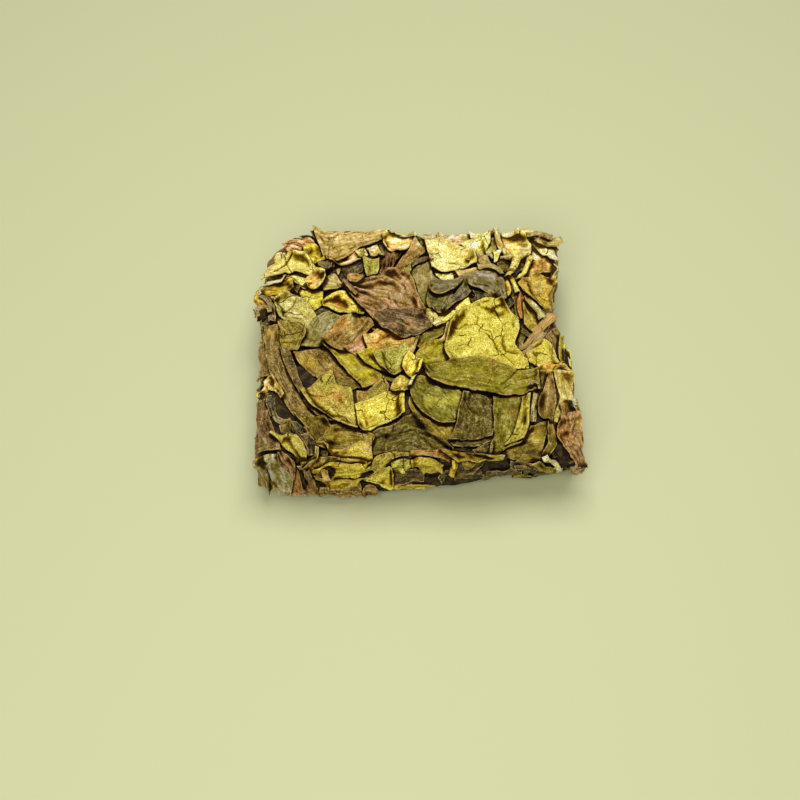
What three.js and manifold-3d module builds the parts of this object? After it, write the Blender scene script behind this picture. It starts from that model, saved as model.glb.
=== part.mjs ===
// A pressed oolong tea cake: one block of whole, twisted leaves that was pressed square in a
// wooden mould and dried in paper. The block is solid, with no gap through it. Its faces are
// covered with flattened leaves that overlap like shingles, its sides show the edges of the
// pressed layers, and two leaf stalks lie across the top.
//
// Millimetres. +Z is up, +X runs to the right and +Y to the back. The origin is under the
// middle of the cake, on the face that it rests on.

import * as THREE from "three";
import { mergeVertices } from "three/addons/utils/BufferGeometryUtils.js";
import Module from "manifold-3d";

const wasm = await Module();
wasm.setup();

// Driving dimensions of the pressed block, without the leaves that lie proud of it.
const WIDTH = 48;
const DEPTH = 43.6;
const HEIGHT = 10;
const SQUARENESS = 7; // exponent of the superellipse that the block follows in plan
const FOLDED_LEAF = 0.7; // thickness of a leaf that is folded on itself
const UNDERSIDE = 0.35; // height of the block's own underside, above the leaves it rests on
const STALK_RADIUS = 0.75;

// How far each corner of the plan is drawn out, or worn back where the number is negative.
const CORNERS = [
  { right: -1, back: -1, drawn: 0.7 },
  { right: 1, back: -1, drawn: 1.6 },
  { right: 1, back: 1, drawn: 0.5 },
  { right: -1, back: 1, drawn: -2.6 },
];
const CORNER_REACH = 9; // how far along the sides a corner's change is felt

// The block's section from the middle of the underside to the middle of the top: each step
// is a share of the plan outline and a share of the height.
const SECTION = [
  [0.5, 0],
  [0.87, 0],
  [0.94, 0.08],
  [0.985, 0.25],
  [1, 0.5],
  [0.99, 0.75],
  [0.955, 0.93],
  [0.87, 1],
  [0.62, 1],
  [0.34, 1],
];
const STEPS_AROUND = 48;
const SIDE_ROUGHNESS = 0.018; // share of the outline by which the sides are uneven
const TOP_ROUGHNESS = 0.3;

// The leaves that make the main forms of the top: middle, heading of the tip in degrees from
// +X, length, width and how far the highest edge lies above the block.
const MAIN_LEAVES = {
  broad_right: { x: 10, y: 1.5, heading: 100, length: 17, width: 12, proud: 1.1 },
  folded_right: { x: 9.5, y: -7, heading: 172, length: 19, width: 6, proud: 1.5 },
  plum_middle: { x: -4.5, y: 8.5, heading: 150, length: 16, width: 10, proud: 1.1 },
  rolled_dark: { x: 7.5, y: 10.5, heading: 12, length: 15, width: 5, proud: 1.6 },
  pale_front: { x: -8.5, y: -11.5, heading: 15, length: 18, width: 6.5, proud: 1.2 },
  long_left: { x: -20, y: -6, heading: 112, length: 21, width: 3.4, proud: 1.3 },
  back_roof: { x: -10.5, y: 18.5, heading: 8, length: 15, width: 7, proud: 1.1 },
  back_pale: { x: 5.5, y: 16.5, heading: 170, length: 10, width: 6, proud: 1.0 },
  front_round: { x: 5.5, y: -14.5, heading: 60, length: 13, width: 9, proud: 0.9 },
  right_strip: { x: 13.5, y: -14.5, heading: 80, length: 12, width: 5.5, proud: 1.0 },
  right_small: { x: 19, y: 11, heading: 70, length: 9, width: 6, proud: 1.0 },
  left_small: { x: -19.5, y: 7, heading: 140, length: 9, width: 6, proud: 1.2 },
};

// The two stalks: middle, heading and length.
const STALKS = {
  back_stalk: { x: -2, y: 17, heading: 47, length: 9 },
  right_stalk: { x: 19, y: 0.5, heading: 48, length: 10 },
};

// The smaller leaves of the top and the underside lie in rows, each turned a little
// differently. "proud" is how far a leaf stands out of the face, and "covered" the share of the
// block's width and depth that the rows take up.
const TOP_COVER = {
  rows: 5,
  columns: 5,
  length: 11,
  width: 6.5,
  proud: 0.65,
  unevenness: 0.25,
  covered: 0.93,
};
const UNDERSIDE_COVER = {
  rows: 4,
  columns: 4,
  length: 13,
  width: 7.5,
  proud: UNDERSIDE,
  unevenness: 0.15,
  covered: 0.8,
};
const TOP_TILT = { main: 3, cover: 5 };

// Leaves pressed against the sides, in tiers, and the edges of flat layers between them.
const SIDE_TIERS = [0.27, 0.73]; // shares of the height
const SIDE_LEAVES_AROUND = 17;
const SIDE_LEAF = { length: 12.5, width: 4.6, proud: 0.5 };
const SHORTEST_SIDE_LEAF = 6;
const LAYER_EDGES_AROUND = 12;
const LAYER_EDGE = { length: 15, width: 5, proud: 0.6 };
const LAYER_TILT = 3;

const degrees = THREE.MathUtils.degToRad;

// A repeatable number from 0 to 1 for each seed.
function chance(seed) {
  const value = Math.sin(seed * 12.9898 + 4.1414) * 43758.5453;
  return value - Math.floor(value);
}

// A repeatable number between -size and size.
function vary(seed, size) {
  return (chance(seed) * 2 - 1) * size;
}

// A closed three.js geometry as a solid that can be joined and cut.
function solidOf(geometry, matrix = new THREE.Matrix4()) {
  const bare = new THREE.BufferGeometry();
  const flat = geometry.index ? geometry.toNonIndexed() : geometry;
  bare.setAttribute("position", flat.getAttribute("position").clone());
  bare.applyMatrix4(matrix);
  const merged = mergeVertices(bare, 1e-4);
  return new wasm.Manifold(
    new wasm.Mesh({
      numProp: 3,
      vertProperties: new Float32Array(merged.attributes.position.array),
      triVerts: new Uint32Array(merged.index.array),
    }),
  );
}

// A solid back as a geometry that a mesh can show.
function geometryOf(solid) {
  const { vertProperties, triVerts } = solid.getMesh();
  const geometry = new THREE.BufferGeometry();
  geometry.setAttribute("position", new THREE.BufferAttribute(vertProperties, 3));
  geometry.setIndex(new THREE.BufferAttribute(triVerts, 1));
  geometry.computeVertexNormals();
  return geometry;
}

// A point of the plan outline: a superellipse, pushed along the diagonal near each corner.
function outlinePoint(angle) {
  const power = 2 / SQUARENESS;
  const across = Math.cos(angle);
  const along = Math.sin(angle);
  const point = new THREE.Vector2(
    (WIDTH / 2) * Math.sign(across) * Math.abs(across) ** power,
    (DEPTH / 2) * Math.sign(along) * Math.abs(along) ** power,
  );
  for (const { right, back, drawn } of CORNERS) {
    const corner = new THREE.Vector2((right * WIDTH) / 2, (back * DEPTH) / 2);
    const nearness = Math.max(0, 1 - point.distanceTo(corner) / CORNER_REACH);
    point.addScaledVector(corner.normalize(), drawn * nearness);
  }
  return point;
}

// The block: the section carried round the outline, with uneven sides and top.
function blockGeometry() {
  const positions = [0, 0, UNDERSIDE];
  const faces = [];
  SECTION.forEach(([share, level], row) => {
    const onSide = level > 0 && level < 1;
    for (let step = 0; step < STEPS_AROUND; step++) {
      const seed = row * STEPS_AROUND + step;
      const point = outlinePoint((2 * Math.PI * step) / STEPS_AROUND);
      point.multiplyScalar(share + (onSide ? vary(seed, SIDE_ROUGHNESS) : 0));
      const rise = level === 1 ? vary(seed + 0.5, TOP_ROUGHNESS) : 0;
      positions.push(point.x, point.y, UNDERSIDE + (HEIGHT - UNDERSIDE) * level + rise);
    }
  });
  positions.push(0, 0, HEIGHT);
  const top = positions.length / 3 - 1;
  const vertex = (row, step) => 1 + row * STEPS_AROUND + (step % STEPS_AROUND);
  for (let step = 0; step < STEPS_AROUND; step++) {
    faces.push(0, vertex(0, step + 1), vertex(0, step));
    for (let row = 0; row < SECTION.length - 1; row++) {
      faces.push(vertex(row, step), vertex(row, step + 1), vertex(row + 1, step + 1));
      faces.push(vertex(row, step), vertex(row + 1, step + 1), vertex(row + 1, step));
    }
    faces.push(top, vertex(SECTION.length - 1, step), vertex(SECTION.length - 1, step + 1));
  }
  const geometry = new THREE.BufferGeometry();
  geometry.setAttribute("position", new THREE.Float32BufferAttribute(positions, 3));
  geometry.setIndex(faces);
  return geometry;
}

// A pressed leaf as a plate that lies in XY with its tip towards +X: one side bows out more
// than the other, so that no two outlines look cut from one template.
function leafSolid({ length, width }, seed, matrix) {
  const half = length / 2;
  const bow = width * (0.5 + vary(seed, 0.12));
  const shoulder = half * vary(seed + 1, 0.4);
  const outline = new THREE.Shape();
  outline.moveTo(-half, 0);
  outline.bezierCurveTo(-half * 0.6, bow * 1.3, shoulder, bow * 1.3, half, 0);
  outline.bezierCurveTo(-shoulder, -(width - bow) * 1.3, -half * 0.5, -(width - bow) * 1.3, -half, 0);
  const geometry = new THREE.ExtrudeGeometry(outline, {
    depth: FOLDED_LEAF,
    bevelEnabled: false,
    curveSegments: 4,
  });
  geometry.translate(0, 0, -FOLDED_LEAF / 2);
  return solidOf(geometry, matrix);
}

// The matrix that carries a plate from XY to a face of the block. "out" is the way that the
// face looks and "along" the way that the plate's length runs before it is turned and tilted.
function onFace({ at, out, along, heading = 0, roll = 0, pitch = 0 }) {
  const across = new THREE.Vector3().crossVectors(out, along);
  const face = new THREE.Matrix4().makeBasis(along, across, out).setPosition(at);
  const turned = new THREE.Matrix4().makeRotationZ(degrees(heading));
  const tilt = new THREE.Matrix4().makeRotationFromEuler(
    new THREE.Euler(degrees(roll), degrees(pitch), 0),
  );
  return face.multiply(turned).multiply(tilt);
}

const UP = new THREE.Vector3(0, 0, 1);
const DOWN = new THREE.Vector3(0, 0, -1);
const RIGHT = new THREE.Vector3(1, 0, 0);

function leafOnTop(leaf, seed, tilt = TOP_TILT.cover) {
  const matrix = onFace({
    at: new THREE.Vector3(leaf.x, leaf.y, HEIGHT + leaf.proud - FOLDED_LEAF / 2),
    out: UP,
    along: RIGHT,
    heading: leaf.heading,
    roll: vary(seed + 2, tilt),
    pitch: vary(seed + 3, tilt / 2),
  });
  return leafSolid(leaf, seed, matrix);
}

// A leaf of the underside lies level, so that its lower face can be rested on.
function leafUnderneath(leaf, seed) {
  const matrix = onFace({
    at: new THREE.Vector3(leaf.x, leaf.y, UNDERSIDE - leaf.proud + FOLDED_LEAF / 2),
    out: DOWN,
    along: RIGHT,
    heading: leaf.heading,
  });
  return leafSolid(leaf, seed, matrix);
}

function mainLeaves() {
  return Object.values(MAIN_LEAVES).map((leaf, index) => leafOnTop(leaf, 100 + 7 * index, TOP_TILT.main));
}

// Rows of smaller leaves over one face, made by "place".
function coverLeaves(cover, first, place) {
  const leaves = [];
  for (let row = 0; row < cover.rows; row++) {
    for (let column = 0; column < cover.columns; column++) {
      const seed = first + 11 * (row * cover.columns + column);
      const across = ((column + 0.5) / cover.columns - 0.5) * cover.covered * WIDTH;
      const back = ((row + 0.5) / cover.rows - 0.5) * cover.covered * DEPTH;
      const leaf = {
        x: across + vary(seed + 4, 1.6),
        y: back + vary(seed + 5, 1.6),
        heading: 360 * chance(seed + 6),
        length: cover.length + vary(seed + 7, 2),
        width: cover.width + vary(seed + 8, 1.2),
        proud: cover.proud + vary(seed + 9, cover.unevenness),
      };
      leaves.push(place(leaf, seed));
    }
  }
  return leaves;
}

// The plan outline as a curve, so that places round the sides can be found by their share of
// the way round.
const ROUND_THE_SIDES = new THREE.CatmullRomCurve3(
  Array.from({ length: 4 * STEPS_AROUND }, (_, step) => {
    const point = outlinePoint((Math.PI * step) / (2 * STEPS_AROUND));
    return new THREE.Vector3(point.x, point.y, 0);
  }),
  true,
);

// Where a leaf lies against the sides: the middle of the chord that it spans, pushed out
// towards the outline behind it, and the ways that it looks and runs. A leaf that would stand
// away from a round corner gets shorter until it fits.
function againstSides(share, leaf) {
  const reach = leaf.length / 2.4 / ROUND_THE_SIDES.getLength();
  const [from, middle, to] = [-reach, 0, reach].map((shift) =>
    ROUND_THE_SIDES.getPointAt((share + shift + 1) % 1),
  );
  const along = to.clone().sub(from).normalize();
  const out = new THREE.Vector3().crossVectors(along, UP);
  const at = from.clone().add(to).multiplyScalar(0.5);
  const bulge = middle.sub(at).dot(out);
  if (bulge > FOLDED_LEAF / 2 && leaf.length > SHORTEST_SIDE_LEAF)
    return againstSides(share, { ...leaf, length: 0.75 * leaf.length });
  return { at: at.addScaledVector(out, Math.max(0, bulge) * 0.6), out, along, leaf };
}

// Tiers of leaves pressed flat against the sides.
function sideLeaves() {
  return SIDE_TIERS.flatMap((level, tier) =>
    Array.from({ length: SIDE_LEAVES_AROUND }, (_, place) => {
      const seed = 1000 + 13 * (tier * SIDE_LEAVES_AROUND + place);
      const wanted = {
        length: SIDE_LEAF.length + vary(seed + 4, 2.5),
        width: SIDE_LEAF.width + vary(seed + 5, 0.7),
      };
      const share = (place + tier / 2 + vary(seed + 6, 0.2)) / SIDE_LEAVES_AROUND;
      const { at, out, along, leaf } = againstSides(share, wanted);
      at.addScaledVector(out, SIDE_LEAF.proud + vary(seed + 7, 0.3) - FOLDED_LEAF / 2);
      at.addScaledVector(UP, HEIGHT * level + vary(seed + 8, 0.6));
      const matrix = onFace({
        at,
        out,
        along,
        heading: vary(seed + 9, 7),
        roll: vary(seed + 10, 7),
        pitch: vary(seed + 11, 2),
      });
      return leafSolid(leaf, seed, matrix);
    }),
  );
}

// The edges of flat layers, which lie level and reach a little out of the sides.
function layerEdges() {
  return Array.from({ length: LAYER_EDGES_AROUND }, (_, place) => {
    const seed = 3000 + 17 * place;
    const wanted = { width: LAYER_EDGE.width, length: LAYER_EDGE.length + vary(seed + 4, 3) };
    const { at, out, along, leaf } = againstSides((place + 0.3) / LAYER_EDGES_AROUND, wanted);
    at.addScaledVector(out, LAYER_EDGE.proud + vary(seed + 5, 0.3) - leaf.width / 2);
    at.addScaledVector(UP, HEIGHT * (0.12 + 0.76 * chance(seed + 6)));
    const matrix = onFace({
      at,
      out: UP,
      along,
      roll: vary(seed + 7, LAYER_TILT),
      pitch: vary(seed + 8, LAYER_TILT),
    });
    return leafSolid(leaf, seed, matrix);
  });
}

// A stalk lies on the top, half sunk between the leaves.
function stalkSolid({ x, y, heading, length }) {
  const geometry = new THREE.CylinderGeometry(STALK_RADIUS * 0.7, STALK_RADIUS, length, 7);
  geometry.rotateZ(-Math.PI / 2);
  const matrix = onFace({
    at: new THREE.Vector3(x, y, HEIGHT + STALK_RADIUS * 0.6),
    out: UP,
    along: RIGHT,
    heading,
    pitch: -4,
  });
  return solidOf(geometry, matrix);
}

// Everything below the resting face is cut away, so that the lowest leaves share one plane.
function belowGround() {
  const slab = new THREE.BoxGeometry(2 * WIDTH, 2 * DEPTH, HEIGHT);
  return solidOf(slab, new THREE.Matrix4().makeTranslation(0, 0, -HEIGHT / 2));
}

// The origin goes under the middle of the finished outline.
function centred(geometry) {
  geometry.computeBoundingBox();
  const middle = geometry.boundingBox.getCenter(new THREE.Vector3());
  return geometry.translate(-middle.x, -middle.y, 0);
}

// The outer skin alone: what is enclosed between two leaves and the block is filled.
function withoutPockets(solid) {
  return solid.decompose().reduce((most, body) => (body.volume() > most.volume() ? body : most));
}

function teaCake() {
  const leaves = [
    ...mainLeaves(),
    ...coverLeaves(TOP_COVER, 300, leafOnTop),
    ...coverLeaves(UNDERSIDE_COVER, 700, leafUnderneath),
    ...sideLeaves(),
    ...layerEdges(),
    ...Object.values(STALKS).map(stalkSolid),
  ];
  const joined = leaves.reduce((whole, leaf) => whole.add(leaf), solidOf(blockGeometry()));
  const solid = withoutPockets(joined.subtract(belowGround()));
  const mesh = new THREE.Mesh(
    centred(geometryOf(solid)),
    new THREE.MeshStandardMaterial({ color: 0x8c8544, roughness: 0.75, metalness: 0 }),
  );
  mesh.name = "tea_cake";
  return mesh;
}

const cake = new THREE.Group();
cake.add(teaCake());

export default cake;
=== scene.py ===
"""A pressed oolong tea cake, built of single leaves.

Whole leaves lie on the top, the sides and the underside of a dark core, one over another, as
they come out of a square wooden mould. Every leaf is a thin closed shell: a sheet ruled between
two long edges, draped over whatever already lies below it. Lengths in the lists are millimetres
in the frame of the cake: +X right, +Y back, +Z up, with the origin under its middle.
"""

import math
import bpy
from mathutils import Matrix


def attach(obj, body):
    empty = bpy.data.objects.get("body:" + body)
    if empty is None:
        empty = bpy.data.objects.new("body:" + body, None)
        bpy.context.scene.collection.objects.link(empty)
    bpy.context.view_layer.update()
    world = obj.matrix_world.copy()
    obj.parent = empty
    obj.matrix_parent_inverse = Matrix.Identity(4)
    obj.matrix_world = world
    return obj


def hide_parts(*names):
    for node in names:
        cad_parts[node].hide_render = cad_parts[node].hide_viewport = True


bl_info = {
    "name": "Pressed oolong tea cake",
    "version": (1, 0, 0),
    "blender": (4, 5, 0),
    "location": "3D View > Sidebar > Tea Cake",
    "description": "Builds a square cake of pressed and dried oolong leaves, leaf by leaf",
    "category": "Add Mesh",
}

from dataclasses import dataclass, replace

import bpy
import numpy as np
from bpy.props import FloatProperty, FloatVectorProperty, IntProperty, PointerProperty
from mathutils import Vector

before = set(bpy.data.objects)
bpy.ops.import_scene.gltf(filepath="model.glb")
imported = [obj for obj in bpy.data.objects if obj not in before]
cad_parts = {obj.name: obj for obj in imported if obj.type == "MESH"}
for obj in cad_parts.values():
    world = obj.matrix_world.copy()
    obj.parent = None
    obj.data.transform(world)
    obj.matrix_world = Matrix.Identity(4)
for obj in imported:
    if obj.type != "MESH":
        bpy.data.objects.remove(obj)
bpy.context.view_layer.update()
NODE = "tea_cake"
MM = 0.001

# The plan of the block at its widest, side by side, anticlockwise from the front left corner.
FRONT_EDGE = [
    (-23.4, -21.7), (-21.5, -21.9), (-12, -22.2), (5, -22.0), (16, -21.4), (21.5, -21.0), (23.0, -20.8),
]
RIGHT_EDGE = [(23.9, -19.8), (23.3, -10), (22.1, 0), (21.2, 8), (22.6, 19.6)]
BACK_EDGE = [(21.8, 22.0), (14, 22.3), (3, 21.9), (-6, 22.4), (-16, 22.3)]
LEFT_EDGE = [(-20.6, 20.4), (-23.7, 17), (-24.3, 8), (-24.1, -5), (-24.3, -14), (-24.1, -20.3)]
# How far the front is drawn in at the ground, along x: the left half stands out a little.
FRONT_TUCK = [(-22.0, -0.6), (-16.0, -1.6), (-7.0, -1.4), (4.0, 0.4), (12.0, 3.0), (22.0, 3.6)]


def srgb(red, green, blue):
    """A display colour, 0 to 255, as linear light."""
    share = np.array([red, green, blue]) / 255
    linear = np.where(share <= 0.04045, share / 12.92, ((share + 0.055) / 1.055) ** 2.4)
    return tuple(float(c) for c in linear)


def length_mm(name, description, default):
    """A length property in millimetres."""
    return FloatProperty(name=name, description=description, default=default, min=0, max=500, precision=2)


def colour(name, description, default):
    """A colour property from a display colour."""
    return FloatVectorProperty(
        name=name, description=description, subtype="COLOR", size=3, min=0, max=1, default=srgb(*default)
    )


class TEACAKE_PG_block(bpy.types.PropertyGroup):
    """Sizes of the pressed block under its leaves, in millimetres."""

    top: length_mm("Top", "Mean height of the finished top", 10.2)
    bottom: length_mm("Bottom", "Height of the underside's lowest layer above the ground", 1.1)
    rounding: length_mm("Rounding", "Radius between the top and the sides", 1.6)
    tuck: length_mm("Tuck", "How far the sides draw in at the ground", 1.9)
    tuck_height: length_mm("Tuck height", "Height up to which the sides draw in", 3.6)
    skin: length_mm("Skin", "How far the pressed mass stays below the lowest leaves", 0.25)
    spread: length_mm("Spread", "Distance over which pressing evens out the piles of leaves", 3.2)


class TEACAKE_PG_leaves(bpy.types.PropertyGroup):
    """Thickness and numbers of the leaves."""

    thickness: length_mm("Thickness", "Thickness of one dried leaf", 0.16)
    fine_step: length_mm("Fine step", "Spacing of the points on the leaves of the top", 0.208)
    coarse_step: length_mm("Coarse step", "Spacing of the points on the leaves of the sides", 0.385)
    lining: IntProperty(name="Lining", description="Leaves that line the top below the others", default=30)
    side_cover: IntProperty(name="Side cover", description="Leaves pressed against the sides", default=120)
    ledges: IntProperty(name="Ledges", description="Edges of flat layers that show in the sides", default=70)
    underside: IntProperty(name="Underside", description="Leaves on the underside", default=70)
    crumbs: IntProperty(name="Crumbs", description="Torn bits of leaf caught between the leaves", default=36)


class TEACAKE_PG_colours(bpy.types.PropertyGroup):
    """Colours of the leaves."""

    yellow: colour("Yellow green", "Leaves that dried without browning", (211, 202, 86))
    pale: colour("Pale", "Palest flat leaves", (228, 222, 150))
    cream: colour("Cream", "Dry rims and scraps", (232, 224, 175))
    gold: colour("Gold", "Yellow leaves turning brown", (186, 162, 44))
    straw: colour("Straw", "Straw-coloured backs of leaves", (193, 169, 108))
    green: colour("Olive green", "Folded olive-green leaves", (148, 138, 13))
    olive: colour("Olive", "Olive-brown leaves", (112, 93, 4))
    grey: colour("Grey green", "Waxy grey-green leaves", (142, 130, 79))
    silver: colour("Silver", "Silvery backs of leaves", (159, 150, 116))
    dark: colour("Dark green", "Darkest rolled leaves", (93, 90, 47))
    brown: colour("Brown", "Browned leaves", (146, 112, 39))
    bark: colour("Bark", "Grey-brown rolled strips", (131, 101, 45))
    plum: colour("Plum", "Fully oxidised plum-brown leaves", (129, 94, 59))
    pink: colour("Pink", "Pinkish torn edges", (206, 155, 113))
    peach: colour("Peach", "Orange spots and curls", (206, 153, 82))
    rust: colour("Rust", "Rust-coloured slivers", (176, 104, 32))
    # Painted shade: the near black of the pressed mass and of the dark sheets that stand for hollows between
    # the leaves.
    shadow: colour("Shadow", "The core between the leaves", (26, 15, 4))
    stalk: colour("Stalk", "Leaf stalks", (196, 158, 88))
    floor: colour("Floor", "Pale floor", (178, 180, 142))


class TEACAKE_PG_stage(bpy.types.PropertyGroup):
    """Camera and lights."""

    elevation: FloatProperty(
        name="Elevation",
        description="Camera angle above the floor",
        default=math.radians(55),
        subtype="ANGLE",
    )
    distance: length_mm("Distance", "From the camera to the point that it looks at", 240)
    target: FloatVectorProperty(
        name="Target",
        description="Point that the camera looks at, in millimetres",
        default=(-2.75, -11.8, 10.5),
    )
    lens: FloatProperty(
        name="Lens",
        description="Focal length on a 36 mm sensor",
        default=70.65,
        subtype="DISTANCE_CAMERA",
    )
    key: FloatProperty(
        name="Key light",
        description="Power of the soft light behind the cake",
        default=1.35,
        subtype="POWER",
    )
    front: FloatProperty(
        name="Front light",
        description="Power of the soft light in front of the cake",
        default=1.55,
        subtype="POWER",
    )
    room: FloatProperty(
        name="Room light",
        description="Strength of the even light from all round",
        default=0.18,
    )


# ---------------------------------------------------------------- curves and noise


def curve(points, share):
    """Points on a smooth line through the given points. The line is made of cubic pieces that
    leave each point along the chord between its neighbours, and share, 0 to 1, runs along it
    in proportion to the straight distances between the points."""
    knots = np.asarray(points, float)
    share = np.clip(np.asarray(share, float), 0, 1)
    if len(knots) == 2:
        return knots[0] + share[..., None] * (knots[1] - knots[0])
    at = np.concatenate([[0], np.cumsum(np.linalg.norm(np.diff(knots, axis=0), axis=1))])
    at /= at[-1]
    slopes = np.gradient(knots, at, axis=0)
    piece = np.clip(np.searchsorted(at, share, side="right") - 1, 0, len(at) - 2)
    span = at[piece + 1] - at[piece]
    s = ((share - at[piece]) / span)[..., None]
    span = span[..., None]
    start, end = knots[piece], knots[piece + 1]
    blend = s * s * (3 - 2 * s)
    bow = s * (1 - s) * span * ((1 - s) * slopes[piece] - s * slopes[piece + 1])
    return start + blend * (end - start) + bow


def hashed(i, j, seed):
    """A repeatable number from -1 to 1 for each pair of whole numbers and seed."""
    n = (i * 374761393 + j * 668265263 + seed * 974634777) & 0xFFFFFFFF
    n = ((n ^ (n >> 13)) * 1274126177) & 0xFFFFFFFF
    return ((n ^ (n >> 16)) & 0xFFFF) / 32767.5 - 1


def noise(x, y, seed):
    """Smooth noise from -1 to 1: a random height at each whole-numbered point of the plane,
    blended between them by a cubic in x and in y."""
    i, j = np.floor(x).astype(np.int64), np.floor(y).astype(np.int64)
    fx, fy = x - i, y - j
    fx, fy = fx * fx * (3 - 2 * fx), fy * fy * (3 - 2 * fy)
    near = hashed(i, j, seed) * (1 - fx) + hashed(i + 1, j, seed) * fx
    far = hashed(i, j + 1, seed) * (1 - fx) + hashed(i + 1, j + 1, seed) * fx
    return near * (1 - fy) + far * fy


def ridged(x, y, seed):
    """Noise with sharp crests and soft hollows: one less twice the size of smooth noise."""
    return 1 - 2 * np.abs(noise(x, y, seed))


def facets(x, y, seed):
    """Flat facets from -1 to 1, as in crumpled paper: a random height at each point of a net
    of equal triangles, joined by planes. The net is first pushed about by smooth noise."""
    x, y = x + 0.35 * noise(x, y, seed + 51), y + 0.35 * noise(x, y, seed + 52)
    skew = 0.366 * (x + y)
    i, j = np.floor(x + skew).astype(np.int64), np.floor(y + skew).astype(np.int64)
    fx, fy = x + skew - i, y + skew - j
    near, far = hashed(i, j, seed), hashed(i + 1, j + 1, seed)
    right = near * (1 - fx) + hashed(i + 1, j, seed) * (fx - fy) + far * fy
    left = near * (1 - fy) + hashed(i, j + 1, seed) * (fy - fx) + far * fx
    return np.where(fx > fy, right, left)


def layered(x, y, seed):
    """Three octaves of smooth noise, each half as large and twice as fine as the last."""
    return sum(noise(x * 2**k, y * 2**k, seed + k) / 2**k for k in range(3)) / 1.75


def smoothstep(low, high, value):
    """0 below low, 1 above high and a cubic between them."""
    s = np.clip((value - low) / (high - low), 0, 1)
    return s * s * (3 - 2 * s)


def distance_to_line(x, y, points):
    """Distance from each point of the plane to a line of straight pieces."""
    nearest = np.full(x.shape, np.inf)
    for (ax, ay), (bx, by) in zip(points[:-1], points[1:]):
        dx, dy = bx - ax, by - ay
        s = np.clip(((x - ax) * dx + (y - ay) * dy) / (dx * dx + dy * dy), 0, 1)
        nearest = np.minimum(nearest, np.hypot(x - ax - s * dx, y - ay - s * dy))
    return nearest


# ---------------------------------------------------------------- the faces of the block


class Relief:
    """How high the leaves already stand over one face, on a square grid over its plan."""

    CELL = 0.15
    DIRECTIONS = 8  # in which a crevice looks for walls
    REACHES = (0.2, 0.38)  # how far off it looks for them
    STEEP = (0.6, 2.2)  # rise over reach at which a wall begins to count, and counts in full

    def __init__(self, low, high, joined=False):
        self.low = np.array(low, float)
        self.joined = joined
        size = np.ceil((np.array(high, float) - self.low) / self.CELL).astype(int) + 1
        self.height = np.zeros(size)

    def _cell(self, i, j):
        """The nearest cell on the grid; a joined grid carries on at its first row."""
        wide, deep = self.height.shape
        i = i % (wide - 1) if self.joined else np.clip(i, 0, wide - 1)
        return i, np.clip(j, 0, deep - 1)

    def at(self, x, y):
        """Heights at points of the plan, blended between the four nearest cells."""
        gx, gy = (x - self.low[0]) / self.CELL, (y - self.low[1]) / self.CELL
        i, j = np.floor(gx).astype(int), np.floor(gy).astype(int)
        fx, fy = gx - i, gy - j
        near = self.height[self._cell(i, j)] * (1 - fx) + self.height[self._cell(i + 1, j)] * fx
        far = self.height[self._cell(i, j + 1)] * (1 - fx) + self.height[self._cell(i + 1, j + 1)] * fx
        return near * (1 - fy) + far * fy

    def crevice(self, x, y, height):
        """How closely walls stand round points at given heights, from 0 in the open to 1: the
        share of eight directions in which the finished relief rises steeply close by."""
        total = 0
        for k in range(self.DIRECTIONS):
            turn = k * 2 * math.pi / self.DIRECTIONS
            across, back = math.cos(turn), math.sin(turn)
            steepest = 0
            for reach in self.REACHES:
                rise = (self.at(x + reach * across, y + reach * back) - height) / reach
                steepest = np.maximum(steepest, rise)
            total = total + smoothstep(*self.STEEP, steepest)
        return total / self.DIRECTIONS

    def cover(self, x, y, top):
        """Raises the cells under a sheet of points to the sheet's height."""
        for _ in range(2):
            x, y, top = halved(x), halved(y), halved(top)
        i = np.rint((x - self.low[0]) / self.CELL).astype(int)
        j = np.rint((y - self.low[1]) / self.CELL).astype(int)
        np.maximum.at(self.height, self._cell(i, j), top)


def halved(grid):
    """A grid of numbers with a new row and column in the middle of every two."""
    rows = np.repeat(grid, 2, axis=0)[:-1]
    rows[1::2] = (grid[:-1] + grid[1:]) / 2
    both = np.repeat(rows, 2, axis=1)[:, :-1]
    both[:, 1::2] = (rows[:, :-1] + rows[:, 1:]) / 2
    return both


def pressed(height, most):
    """Heights as the ground leaves them: the higher a pile, the more it is squeezed, so that no
    pile passes the given depth and a higher leaf still lies above a lower one."""
    return most * (1 - np.exp(-np.maximum(height, -most) / most))


def blurred(grid, reach, joined):
    """A grid averaged over about the given number of cells each way, by three box means in
    each direction; a joined grid carries on at its first row after its last."""
    half = max(1, int(reach / 2))
    for axis in (0, 1):
        mode = "wrap" if joined and axis == 0 else "edge"
        for _ in range(3):
            wide = np.pad(grid, [(half + 1, half) if a == axis else (0, 0) for a in (0, 1)], mode=mode)
            total = np.cumsum(wide, axis=axis)
            cut = [slice(None), slice(None)]
            cut[axis] = slice(2 * half + 1, None)
            upper = total[tuple(cut)]
            cut[axis] = slice(None, -(2 * half + 1))
            grid = (upper - total[tuple(cut)]) / (2 * half + 1)
    return grid


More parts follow.
